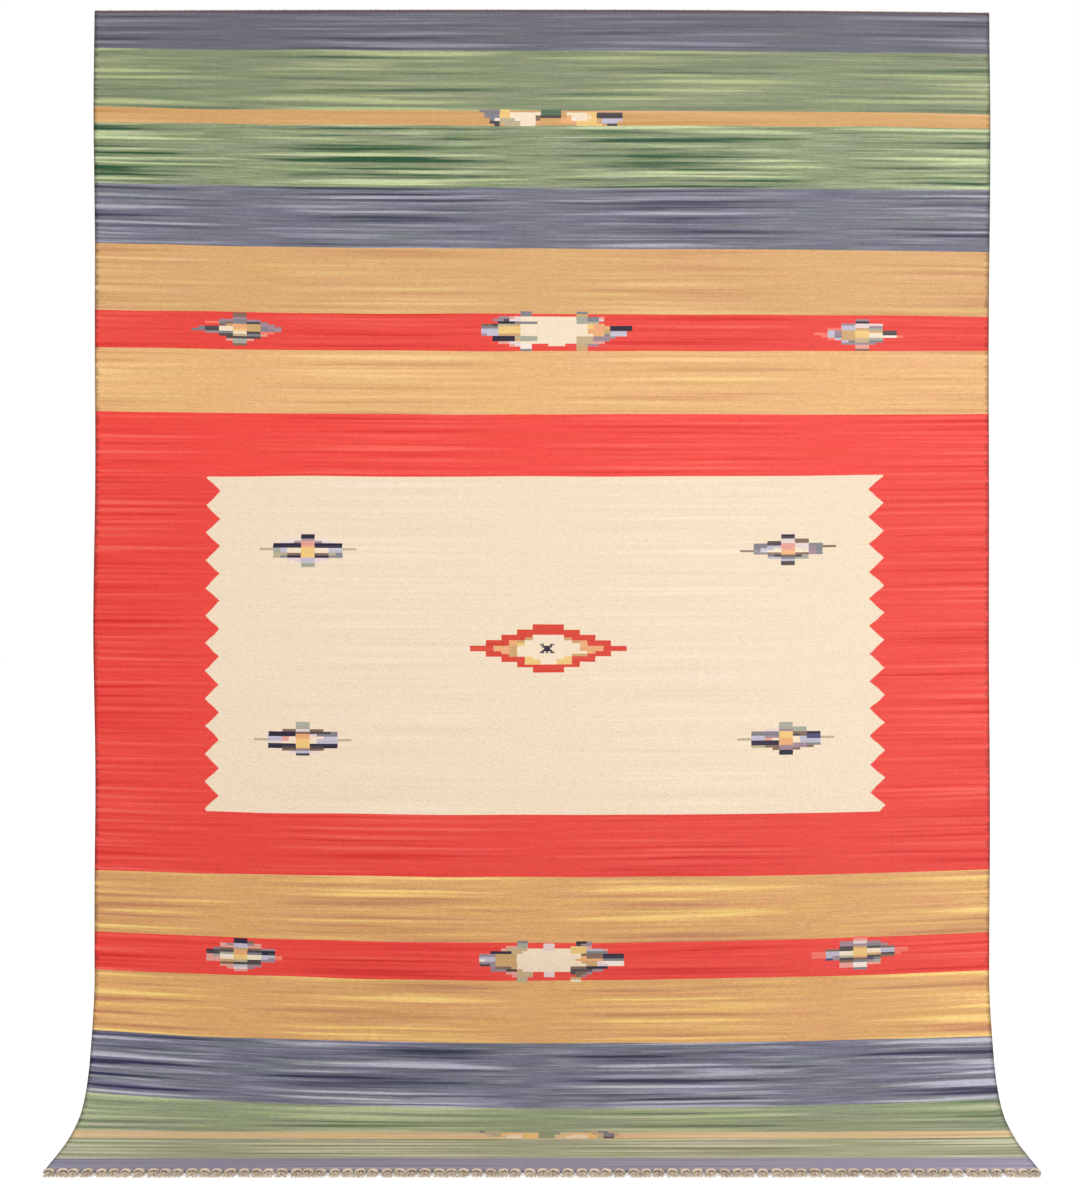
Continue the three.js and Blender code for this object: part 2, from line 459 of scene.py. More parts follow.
# The usual size of a motif's blocks, and how near to a block's edge an older vertex serves for it, in mm.
BLOCK_WIDTH = 10.8
BLOCK_HEIGHT = 3.65
CUT_SNAP = 0.02


@dataclass(frozen=True)
class Motif:
    """A stepped motif, woven from a weaver's chart: one letter for each block of picks, a dot for the ground.

    Attributes:
        name: The motif's name.
        chart: Its rows from the top.
        across: Its middle, right of the middle of the rug, in millimetres.
        along: Its middle, along the weft's own rows from the upper edge.
        step: The width of one block.
        rise: The height of one block.
    """

    name: str
    chart: tuple[str, ...]
    across: float
    along: float
    step: float = BLOCK_WIDTH
    rise: float = BLOCK_HEIGHT

    def column_edges(self) -> list[float]:
        """The places across the rug of the edges between its blocks."""
        count = len(self.chart[0])
        return [self.across + (i - count / 2) * self.step for i in range(count + 1)]

    def row_edges(self) -> list[float]:
        """The places along the rug of the edges between its rows."""
        count = len(self.chart)
        return [self.along + (i - count / 2) * self.rise for i in range(count + 1)]

    def touches(self, face: bmesh.types.BMFace) -> bool:
        """Finds out whether a face reaches into the chart, by more than the cuts may be off.

        Args:
            face: A face of the flat cloth.

        Returns:
            Whether it does.
        """
        slack = 2.5 * CUT_SNAP
        columns, rows = self.column_edges(), self.row_edges()
        wide = [vert.co.x for vert in face.verts]
        tall = [vert.co.y for vert in face.verts]
        over_columns = min(wide) < columns[-1] - slack and max(wide) > columns[0] + slack
        over_rows = min(tall) < rows[-1] - slack and max(tall) > rows[0] + slack
        return over_columns and over_rows

    def yarn_at(self, across: float, along: float) -> Yarn | None:
        """Looks a place up in the chart.

        Args:
            across: The place across the rug.
            along: The place along it.

        Returns:
            The yarn there, or None on the ground and outside the chart.
        """
        column = math.floor((across - self.across) / self.step + len(self.chart[0]) / 2)
        row = math.floor((along - self.along) / self.rise + len(self.chart) / 2)
        if not (0 <= row < len(self.chart) and 0 <= column < len(self.chart[0])):
            return None
        return CHART_YARNS.get(self.chart[row][column])


MOTIFS: tuple[Motif, ...] = (
    Motif(
        "upper left field diamond",
        (
            "......NN......", "......NN......", "....VVMMVV....", "...VVMPPMVV...", "..NNNNPPNNNN..",
            "..NNNNOONNNN..", "KKFLCCYYCCLLKK", "..FLCCYYCCLL..", "..KKBBYYBBKS..", "..KSNNYYNNSS..",
            "....VVLLVV....", ".....VLLV.....", "......FF......", "......FF......",
        ),
        across=-365.0, along=846.5,
    ),
    Motif(
        "upper right field diamond",
        (
            "......NN......", "......DD......", "......VVBB....", "....DDVVBB....", "..SSDDPPVVSS..",
            "..SSLLPPVVMSBB", "..SLLCPPCVMS..", "BBSLCCOOCCMS..", "..SSBBOOBBMS..", "....SDBBDF....",
            "....LLSSFF....", "......LL......", "......DD......", "......DD......",
        ),
        across=384.0, along=846.1, rise=3.42,
    ),
    Motif(
        "lower left field diamond",
        (
            "......FF......", "......FF......", "......FF......", "....BBVVBB....", "..NNNNBBDDDS..",
            "..NNNNOOVSSS..", "..LLPCOOCCLL..", "KKLLPCYYCLLLKK", "..VVCCYYCLLL..", "..NNNNYYNNNN..",
            "..NNDDYYDDNN..", "....BBMMBB....", ".....VLLV.....", "......DD......",
        ),
        across=-371.0, along=1138.5,
    ),
    Motif(
        "lower right field diamond",
        (
            "......FF......", "......FF......", "......FFFF....", "....VVMMFF....", "..SSSSYYBBNN..",
            "..SSSSYYDBUU..", "..LLMMYYCLUUKK", "KKLLPCOOCLLL..", "..NNNNOOCLLL..", "..NNNNOOMMSS..",
            "..KKBBMMMMB...", ".....BMMB.....", "......NN......", "......NN......",
        ),
        across=378.5, along=1138.8,
    ),
    Motif(
        "upper left stripe diamond",
        (
            "......BB......", "......BB......", "......MM......", "....MMSSMM....", "..rrSBSSDDM...",
            "....BTOOTTMM..", ".SDDCCOOTTSMM.", "SSDDCCYYTTSSM.", "..MMSSCCDDrr..", "....DDGGSSP...",
            ".....DDDDD....", ".....PFFP.....", "......FF......", "......BB......",
        ),
        across=-472.5, along=502.5,
    ),
    Motif(
        "upper right stripe diamond",
        (
            "......MM......", "......NN......", "....MMVVVV....", "....LLVVMM....", "..rrLLTTFF....",
            "..LMTTYYTTDD..", "rrLMTTYYCCDD..", ".rLSTTYYCCWWr.", "..rLTTGGFF....", "....LSGGSS....",
            "....MMMMM.....", "......PP......", "......PP......", "......BB......",
        ),
        across=501.0, along=508.0,
    ),
    Motif(
        "lower left stripe diamond",
        (
            "......NN......", "......NNB.....", "....PMLLMP....", "....PPLLPP....", "...SBBTTBBMM..",
            "..NDDDOODDNN..", "..DDFFOOSSND..", "..PFWWYYCCLLr.", "..PPCCYYCCLMr.", "..PPTTKKDDMM..",
            "....BBDDDD....", "....PPLLMM....", ".....PVVM.....", "......PP......",
        ),
        across=-467.5, along=1477.4,
    ),
    Motif(
        "lower right stripe diamond",
        (
            "......rr......", "......PP......", "....MMVVMM....", "....MMMMSSM...", "....DDTTDDBB..",
            "..BBDDYYCCLLrr", "rrLLWCYYCCLLrr", "rrLLCCYYTTDDr.", "rrLMFFOODDBB..", "..UMDDBBUS....",
            "....BBSSMF....", "....PPWWPP....", "....PPWW......", "......SS......",
        ),
        across=494.0, along=1474.8,
    ),
    Motif(
        "upper medallion",
        (
            "........SS........SS........", "........SS........TT........", "....MMPVCCCCCCCCCCFFSSP.....",
            "...MMDVVCCCCCCCCCCFFSSV.....", "....NNNSSSSCCCCCCCFFFF......", ".BBDKKKTCCCCCCCCCCCCYOO.....",
            ".SSSYYYYCCCCCCCCCCCCYOOONNNN", ".LLLYYYYCCCCCCCCCCCCOOOTNNNN", ".LLLYYYYCCCCCCCCCCCCOOOTLLL.",
            ".MLLTTTTCCCCCCCCCCCCCOOSLLL.", "...NNNNKFFFCCCCCCCGGGMMMM...", "...NNNNTFFFCCCCCCCGGGMMM....",
            "....PPVVCCCCCCCCCCGGGPP.....", "......PVWW...CCC..GGMM......", "........WW........TT........",
            "........SS........TT........",
        ),
        across=19.0, along=503.0, step=8.75, rise=3.85,
    ),
    Motif(
        "lower medallion",
        (
            "........SS.........NNM......", "........FF...VV....DMM......", "......PPFF...VV...YYYP......",
            ".....PGGGGCCCVVCCCYYYLLLP...", "...NNNNGGCCCCCCCCCYYYSSSS...", ".MMMTTTTCCCCCCCCCCCCBBBBNNNN",
            ".LLLTTTTCCCCCCCCCCCCOBBBNNNN", ".WLLTTTTCCCCCCCCCCCOOOOOSSSS", ".MMMTTTTCCCCCCCCCCCCTTTVWWWW",
            ".DDMTTTTCCCCCCCCCCCCCTTVVWWW", "...MBBBTCCCCCCCCCCBBBNNNN...", "...MMMDDTCCCCCCCCCDDDDMM....",
            "......PPGGG..VV...DBBM......", ".......PGGG..VV....BM.......", "........KK........TT........",
            "........KK........CC........",
        ),
        across=11.0, along=1479.8, step=8.25, rise=3.95,
    ),
    Motif(
        "centre medallion",
        (
            "........RRRR........", "........RRRR........", "......RRRRRRRR......", "......RRRRRRRR......",
            "....RRRRCCCCRRRR....", "....RRRTCCCCTRRR....", "..RRROTCCCCCCTORRR..", "..RRROYCCCCCCCORRR..",
            "RRROOTCCCCCCCCOOORRR", "RRROOTCCCCCCCCOOORRR", "..RROTCCCCCCCCCORR..", "..RRRTCCCCCCCTTRRR..",
            "....RRRYCCCCYRRR....", "....RRRYYCCYYRRR....", "......RYYCCYYR......", "......RRRRRRRR......",
            "........RRRR........", "........RRRR........",
        ),
        across=10.0, along=998.0, step=12.15, rise=4.15,
    ),
    Motif(
        "centre hourglass",
        (
            "SD...DS", ".DDNDD.", "..NNN..", ".DNNND.", "DD.D.DD",
        ),
        across=8.0, along=998.0, step=3.1, rise=3.0,
    ),
    Motif(
        "head pinstripe knot",
        (
            "SSSSYY......EEEE............", ".SSSYYCCCCCCEEEE.CCCCYYDDDDD", ".SSSYYCCCCCBDDDD.OCCCCYDDDDD",
            "..SWKKKWCCCB....OOWCCYYTLLLL", "..DDKKKKCCCO....OOOYYYYTLLL.", "...D.KKKCCCT......TYYYYYTDD.",
        ),
        across=14.0, along=169.0, step=8.0, rise=4.2,
    ),
    Motif(
        "foot pinstripe knot",
        (
            ".SKKK.......gggg......GSSG..", "..KKKYYYYYYYgggg..YYYYGGSSG.", "...KKYCCCYYYggg..YCCCYYKSSG.",
            "......CCCYYYggg..CCCCYYKDD..",
        ),
        across=11.0, along=1804.0, step=8.0, rise=7.0,
    ),
)


@dataclass(frozen=True)
class Teeth:
    """The row of teeth down one side of the field, where the cream and the red wefts turn back on each other.

    Attributes:
        name: Which side they are on.
        tip: Where their points reach across the rug, in millimetres.
        valley: Where the red comes in between them.
        first: Where the first point is along the rug.
        pitch: The distance from point to point.
    """

    name: str
    tip: float
    valley: float
    first: float
    pitch: float

    @property
    def side(self) -> float:
        """Minus one on the left and one on the right."""
        return math.copysign(1.0, self.tip)


TEETH: tuple[Teeth, ...] = (
    Teeth("left", -524.5, -502.5, 731.5, 43.2),
    Teeth("right", 534.0, 510.0, 730.5, 42.8),
)
TOOTH_MARGIN = 6.0


# ---------------------------------------------------------------- finishes


@dataclass(frozen=True)
class Touch:
    """How a yarn feels, and so how it meets the light.

    Attributes:
        dullness: How far it spreads what it reflects.
        gloss: How much it reflects.
        fuzz: How much light its loose fibres catch.
        fuzz_spread: How far they spread it.
        relief: How deep its own relief is, in millimetres.
        relief_strength: How much of the relief is seen.
    """

    dullness: float
    gloss: float
    fuzz: float
    fuzz_spread: float
    relief: float
    relief_strength: float


@dataclass(frozen=True)
class Grain:
    """A noise field that is stretched over the flat cloth.

    Attributes:
        wide: How wide its patches are, in millimetres.
        tall: How tall they are, in millimetres or in shares of a dye lot.
        seed: Which field it is.
        detail: How many finer layers it has.
        roughness: How strong they are.
    """

    wide: float
    tall: float
    seed: float
    detail: float
    roughness: float = 0.5


class Sketch:
    """A short hand for a material's nodes. Values may be numbers or other nodes' outputs."""

    def __init__(self, name: str) -> None:
        """Starts a material with no nodes.

        Args:
            name: The material's name.
        """
        self.material = bpy.data.materials.new(name)
        self.material.use_nodes = True
        self.tree = self.material.node_tree
        self.tree.nodes.clear()

    def node(self, kind: str, inputs: dict | None = None, **settings: object) -> bpy.types.Node:
        """Adds one node.

        Args:
            kind: The node's type name.
            inputs: Values or outputs for its sockets, by socket name or number.
            **settings: Properties of the node itself.

        Returns:
            The new node.
        """
        made = self.tree.nodes.new(kind)
        for name, value in settings.items():
            setattr(made, name, value)
        for name, value in (inputs or {}).items():
            self.feed(made.inputs[name], value)
        return made

    def feed(self, socket: bpy.types.NodeSocket, value: object) -> None:
        """Links an output to a socket, or sets the socket's own value.

        Args:
            socket: The socket to feed.
            value: An output, or a plain value.
        """
        if isinstance(value, bpy.types.NodeSocket):
            self.tree.links.new(value, socket)
        else:
            socket.default_value = value

    def math(self, operation: str, *values: object, clamp: bool = False) -> bpy.types.NodeSocket:
        """Adds a Math node.

        Args:
            operation: What it works out.
            *values: Its one to three values.
            clamp: Whether to hold the result between 0 and 1.

        Returns:
            Its result.
        """
        made = self.node("ShaderNodeMath", dict(enumerate(values)), operation=operation, use_clamp=clamp)
        return made.outputs[0]

    def plus(self, first: object, second: object) -> bpy.types.NodeSocket:
        """Adds two values."""
        return self.math("ADD", first, second)

    def less(self, first: object, second: object) -> bpy.types.NodeSocket:
        """Takes the second value from the first."""
        return self.math("SUBTRACT", first, second)

    def times(self, first: object, second: object, clamp: bool = False) -> bpy.types.NodeSocket:
        """Multiplies two values, and may hold the result between 0 and 1."""
        return self.math("MULTIPLY", first, second, clamp=clamp)

    def over(self, first: object, second: object, clamp: bool = False) -> bpy.types.NodeSocket:
        """Divides the first value by the second, and may hold the result between 0 and 1."""
        return self.math("DIVIDE", first, second, clamp=clamp)

    def scaled(self, value: object, factor: object, start: object) -> bpy.types.NodeSocket:
        """Multiplies a value by a factor and adds it to a start."""
        return self.math("MULTIPLY_ADD", value, factor, start)

    def ease(self, value: object, low: float, high: float) -> bpy.types.NodeSocket:
        """A smooth step of a value from 0 at low to 1 at high.

        Args:
            value: The value to ease.
            low: Where the step begins.
            high: Where it ends.

        Returns:
            The eased value.
        """
        inputs = {"Value": value, "From Min": low, "From Max": high}
        return self.node("ShaderNodeMapRange", inputs, interpolation_type="SMOOTHSTEP").outputs[0]

    def blend(self, share: object, first: object, second: object, kind: str = "MIX") -> bpy.types.NodeSocket:
        """Mixes two colours.

        Args:
            share: How much of the second there is.
            first: The colour below.
            second: The colour on top.
            kind: The way they mix.

        Returns:
            The mixed colour.
        """
        made = self.node("ShaderNodeMix", {0: share, 6: first, 7: second}, data_type="RGBA", blend_type=kind)
        return made.outputs[2]

    def join(self, x: object, y: object, z: object) -> bpy.types.NodeSocket:
        """Makes a vector of three values."""
        return self.node("ShaderNodeCombineXYZ", {0: x, 1: y, 2: z}).outputs[0]

    def noise(self, vector: object, detail: float, roughness: float = 0.5) -> bpy.types.NodeSocket:
        """Reads a noise field at a vector that already holds its scale.

        Args:
            vector: Where to read it.
            detail: How many finer layers it has.
            roughness: How strong they are.

        Returns:
            The noise, about 0.5.
        """
        inputs = {"Vector": vector, "Scale": 1.0, "Detail": detail, "Roughness": roughness}
        return self.node("ShaderNodeTexNoise", inputs).outputs[0]

    def attribute(self, name: str, part: str) -> bpy.types.NodeSocket:
        """Reads the named part of one of the mesh's own attributes."""
        return self.node("ShaderNodeAttribute", attribute_name=name).outputs[part]

    def yarn(self, colour: object, height: object, touch: Touch) -> bpy.types.Material:
        """Ends the sketch as a matt yarn.

        Args:
            colour: Its colour.
            height: Its relief, from 0 to 1.
            touch: How it meets the light.

        Returns:
            The finished material.
        """
        relief = {"Strength": touch.relief_strength, "Distance": touch.relief * MM, "Height": height}
        bump = self.node("ShaderNodeBump", relief)
        return self.surface(
            {
                "Base Color": colour,
                "Roughness": touch.dullness,
                "Specular IOR Level": touch.gloss,
                "Sheen Weight": touch.fuzz,
                "Sheen Roughness": touch.fuzz_spread,
                "Normal": bump.outputs[0],
            }
        )

    def surface(self, inputs: dict) -> bpy.types.Material:
        """Ends the sketch with the shader.

        Args:
            inputs: Values or outputs for the shader's sockets, by name.

        Returns:
            The finished material.
        """
        shader = self.node("ShaderNodeBsdfPrincipled", inputs)
        self.node("ShaderNodeOutputMaterial", {"Surface": shader.outputs[0]})
        return self.material


class ClothSketch(Sketch):
    """A sketch that knows its place on the flat cloth.

    Attributes:
        across: The distance right of the middle, in millimetres.
        along: The distance from the upper edge.
        pick: The number of the pick there.
        beaten: The distance from the upper edge to that pick.
    """

    def __init__(self, name: str, pick_gap: float) -> None:
        """Starts a material and finds the place.

        Args:
            name: The material's name.
            pick_gap: The distance between picks of the weft.
        """
        super().__init__(name)
        flat = self.node("ShaderNodeUVMap", uv_map="weave").outputs[0]
        place = self.node("ShaderNodeSeparateXYZ", {0: flat})
        self.across = self.scaled(place.outputs[0], WIDTH, -HALF_WIDTH)
        self.along = self.scaled(place.outputs[1], -LENGTH, LENGTH)
        self.pick = self.math("FLOOR", self.over(self.along, pick_gap))
        self.beaten = self.times(self.pick, pick_gap)

    def grain(self, grain: Grain, along: object = None) -> bpy.types.NodeSocket:
        """Reads a noise field that is stretched over the cloth, less a half.

        Args:
            grain: The field.
            along: Where to read it along the rug, or None for the pick's own place.

        Returns:
            The noise, about 0.
        """
        down = self.over(self.beaten if along is None else along, grain.tall)
        place = self.join(self.over(self.across, grain.wide), down, grain.seed)
        return self.less(self.noise(place, grain.detail, grain.roughness), 0.5)


@dataclass(frozen=True)
class WovenWool:
    """The face of the cloth: a weft-faced plain weave of unevenly dyed wool. Lengths are in millimetres.

    Attributes:
        name: The material's name.
        touch: How the wool meets the light.
        warp_gap: The distance between warps.
        pick_gap: The distance between picks of the weft.
        bead_roundness: The powers that round a bead of weft, across the warp and along it.
        bead_light: How much light the hollows between the beads keep, and how much more the beads have.
        lots: The dye lots, whose height each band's yarn gives.
        lot_contrast: How far the lots differ.
        lot_softness: How much less the lots differ where they hardly do.
        dye_reach: Half the length along the yarn in which its shade comes round again.
        dye_shift: How far that place shifts from pick to pick.
        shift_reach: How many millimetres of picks shift together.
        shift_place: Where in the noise the shift is read, before and behind the picks.
        thin_streaks: The streaks of single picks.
        thin_contrast: How far they differ.
        streak_relief: How much higher the pale streaks stand, beside the weave.
        strands: The change from strand to strand.
        strand_contrast: How far an even yarn's strands differ, and how much further a wholly uneven one's do.
        patches: Patches that are warmer or cooler.
        patch_cast: How far a patch moves the red, green and blue.
        selvedge_shade_grain: How the width of the painted shade along the selvedge changes along the rug.
        selvedge_shade_reach: How far in the painted shade reaches.
        selvedge_shade_more: How much more or less that may be, where the noise differs by one.
        selvedge_shade_edge: How wide its darkest edge is.
        selvedge_light: How much light the painted shade leaves at the edge, and how much more the cloth
            beside it has.
        head_line: Where the dark line along the upper edge begins to fade and is gone.
        head_line_shade: Its colour.
        head_line_strength: How strongly it shows.
        painted_sheen_right: How far the right side is paled by a painted sheen, as the light falls from that
            side.
        painted_sheen_colour: The colour of that painted sheen, in linear light.
        painted_light_right: How much painted light brightens the right side.
        painted_light_foot: How much more painted light the right side has near the foot.
        painted_light_foot_span: Where that begins and is complete.
        tooth_stray: How far the teeth's points stray along the rug.
        stray_reach: How many millimetres of picks stray together.
        stray_place: Where in the noise the stray is read, beside and behind the picks.
    """

    name: str = "woven_wool"
    touch: Touch = Touch(
        dullness=0.92, gloss=0.12, fuzz=0.05, fuzz_spread=0.55, relief=0.55, relief_strength=0.7
    )
    warp_gap: float = 3.03
    pick_gap: float = 1.5
    bead_roundness: Span = (0.6, 0.5)
    bead_light: Span = (0.88, 0.16)
    lots: Grain = Grain(520.0, 1.0, 0.0, 1.5)
    lot_contrast: float = 7.2
    lot_softness: float = 0.5
    dye_reach: float = 457.0
    dye_shift: float = 120.0
    shift_reach: float = 21.0
    shift_place: Span = (3.0, 5.0)
    thin_streaks: Grain = Grain(80.0, 1.95, 7.0, 1.0)
    thin_contrast: float = 1.2
    streak_relief: float = 0.12
    strands: Grain = Grain(11.0, 1.8, 21.0, 3.0, 0.7)
    strand_contrast: Span = (0.08, 0.55)
    patches: Grain = Grain(170.0, 15.0, 33.0, 2.0)
    patch_cast: tuple[float, float, float] = (0.1, -0.12, 0.35)
    selvedge_shade_grain: Grain = Grain(900.0, 6.0, 40.0, 2.0)
    selvedge_shade_reach: float = 6.5
    selvedge_shade_more: float = 22.0
    selvedge_shade_edge: float = 0.5
    selvedge_light: Span = (0.32, 0.68)
    head_line: Span = (1.5, 6.0)
    head_line_shade: Shade = (84, 58, 62)
    head_line_strength: float = 0.6
    painted_sheen_right: float = 0.02
    painted_sheen_colour: tuple[float, float, float, float] = (0.85, 0.8, 0.74, 1.0)
    painted_light_right: float = 0.04
    painted_light_foot: float = 0.2
    painted_light_foot_span: Span = (1760.0, 1900.0)
    tooth_stray: float = 2.5
    stray_reach: float = 17.0
    stray_place: Span = (3.7, 1.0)

    def make(self) -> bpy.types.Material:
        """Builds the material.

        Returns:
            The finished material.
        """
        s = ClothSketch(self.name, self.pick_gap)
        red_side = self._beyond_teeth(s)
        usual, dark, light = self._dyes(s, red_side)
        uneven = self._past_teeth(s, red_side, s.attribute("dye", "Alpha"), "unevenness")
        lot_height = self._past_teeth(s, red_side, s.attribute("dye_dark", "Alpha"), "lot")
        streak = self._streaks(s, lot_height)
        weave = self._weave(s)
        # From 0 at the left selvedge to 1 at the right: where the painted light and sheen of the right side
        # are laid.
        rightward = s.ease(s.across, -HALF_WIDTH, HALF_WIDTH)

        gain = s.times(streak, uneven)
        colour = s.blend(s.times(gain, 1.0, clamp=True), usual, light)
        colour = s.blend(s.times(gain, -1.0, clamp=True), colour, dark)
        shade = self._strand_shade(s, uneven)
        shade = s.times(shade, s.scaled(weave, self.bead_light[1], self.bead_light[0]))
        shade = s.times(shade, self._selvedge_shade(s))
        # Painted light: the wool is brighter towards the right, and more so near the foot.
        shade = s.times(shade, s.scaled(rightward, self._painted_light_gain(s), 1.0))
        warm = s.times(s.grain(self.patches), uneven)
        tone = s.join(*(s.times(shade, s.scaled(warm, cast, 1.0)) for cast in self.patch_cast))
        colour = s.blend(1.0, colour, tone, "MULTIPLY")
        fades, gone = self.head_line
        head_line = s.times(s.ease(s.beaten, gone, fades), self.head_line_strength)
        colour = s.blend(head_line, colour, opaque(self.head_line_shade))
        # Painted sheen: the right side is paled towards a pale colour.
        colour = s.blend(s.times(rightward, self.painted_sheen_right), colour, self.painted_sheen_colour)
        return s.yarn(colour, s.scaled(streak, self.streak_relief, weave), self.touch)

    def _beyond_teeth(self, s: ClothSketch) -> bpy.types.NodeSocket:
        """Works out where the red border lies between the field's teeth.

        Args:
            s: The material's sketch.

        Returns:
            One on the red side of the teeth and 0 on the cream side.
        """
        stray = s.noise(s.join(s.over(s.beaten, self.stray_reach), *self.stray_place), 1.0)
        drawn = s.scaled(stray, 2 * self.tooth_stray, -self.tooth_stray)
        result = None
        for teeth in TEETH:
            half = teeth.pitch / 2
            down = s.plus(s.less(s.beaten, teeth.first), drawn)
            share = s.over(s.math("PINGPONG", down, half), half)
            edge = s.scaled(share, teeth.valley - teeth.tip, teeth.tip)
            red = s.math("GREATER_THAN", s.times(s.less(s.across, edge), teeth.side), 0.0)
            result = red if result is None else s.math("MAXIMUM", result, red)
        return s.times(result, s.attribute("toothed", "Fac"))

    def _dyes(self, s: ClothSketch, red_side: object) -> list[bpy.types.NodeSocket]:
        """Reads the three shades of the weft, with the red border's between the teeth.

        Args:
            s: The material's sketch.
            red_side: Where the red border lies between the teeth.

        Returns:
            The usual, dark and light colours.
        """
        border = Yarn.VERMILION.value
        pairs = (("dye", border.usual), ("dye_dark", border.dark), ("dye_light", border.light))
        return [
            s.blend(red_side, s.attribute(name, "Color"), opaque(shade, PANEL_TONE)) for name, shade in pairs
        ]

    @staticmethod
    def _past_teeth(s: ClothSketch, red_side: object, mark: object, quality: str) -> bpy.types.NodeSocket:
        """Gives a quality of the field's dye the red border's value between the teeth.

        Args:
            s: The material's sketch.
            red_side: Where the red border lies between the teeth.
            mark: The quality as the mesh carries it.
            quality: Its name in a dye.

        Returns:
            The quality of the weft that lies there.
        """
        change = getattr(Yarn.VERMILION.value, quality) - getattr(Yarn.CREAM.value, quality)
        return s.scaled(red_side, change, mark)

    def _streaks(self, s: ClothSketch, lot_height: object) -> bpy.types.NodeSocket:
        """Works out how the dye varies along and between the picks.

        Args:
            s: The material's sketch.
            lot_height: How tall a streak of one shade is.

        Returns:
            The streaks, below 0 where dark and above 0 where pale.
        """
        before, behind = self.shift_place
        shift = s.noise(s.join(before, s.over(s.beaten, self.shift_reach), behind), 1.0)
        turned = s.scaled(shift, 2 * self.dye_shift, s.plus(s.across, HALF_WIDTH - self.dye_shift))
        round_again = s.math("COSINE", s.times(turned, math.pi / self.dye_reach))
        lean = s.times(s.grain(self.lots, s.over(s.beaten, lot_height)), self.lot_contrast)
        lean = s.times(lean, s.math("POWER", s.math("ABSOLUTE", lean), self.lot_softness))
        return s.scaled(s.grain(self.thin_streaks), self.thin_contrast, s.times(lean, round_again))

    def _strand_shade(self, s: ClothSketch, uneven: object) -> bpy.types.NodeSocket:
        """Works out the lesser change of shade from strand to strand.

        Args:
            s: The material's sketch.
            uneven: How uneven the dye is.

        Returns:
            A share of the light, about 1.
        """
        least, more = self.strand_contrast
        return s.scaled(s.grain(self.strands), s.scaled(uneven, more, least), 1.0)

    def _painted_light_gain(self, s: ClothSketch) -> bpy.types.NodeSocket:
        """How much painted light brightens the right side, from the upper edge to the foot."""
        return s.scaled(s.ease(s.beaten, *self.painted_light_foot_span), self.painted_light_foot, self.painted_light_right)

    def _weave(self, s: ClothSketch) -> bpy.types.NodeSocket:
        """Works out the height of the weave: each pick shows as a row of beads over every second warp.

        Args:
            s: The material's sketch.

        Returns:
            The height, from 0 between the beads to 1 on them.
        """
        across_warp, along_warp = self.bead_roundness
        turn = s.scaled(s.pick, 0.5, s.over(s.across, self.warp_gap * 2))
        bead = s.math("ABSOLUTE", s.math("SINE", s.times(turn, math.pi)))
        row = s.math("ABSOLUTE", s.math("SINE", s.times(s.over(s.along, self.pick_gap), math.pi)))
        return s.times(s.math("POWER", bead, across_warp), s.math("POWER", row, along_warp))

    def _selvedge_shade(self, s: ClothSketch) -> bpy.types.NodeSocket:
        """Paints shade on the last few millimetres, where the rounded edge cord turns away from the light.

        Args:
            s: The material's sketch.

        Returns:
            A share of the light, from 0 to 1.
        """
        inset = s.less(HALF_WIDTH, s.math("ABSOLUTE", s.across))
        reach = s.scaled(s.grain(self.selvedge_shade_grain), self.selvedge_shade_more, self.selvedge_shade_reach)
        clear = s.over(s.less(inset, self.selvedge_shade_edge), reach, clamp=True)
        return s.scaled(clear, self.selvedge_light[1], self.selvedge_light[0])


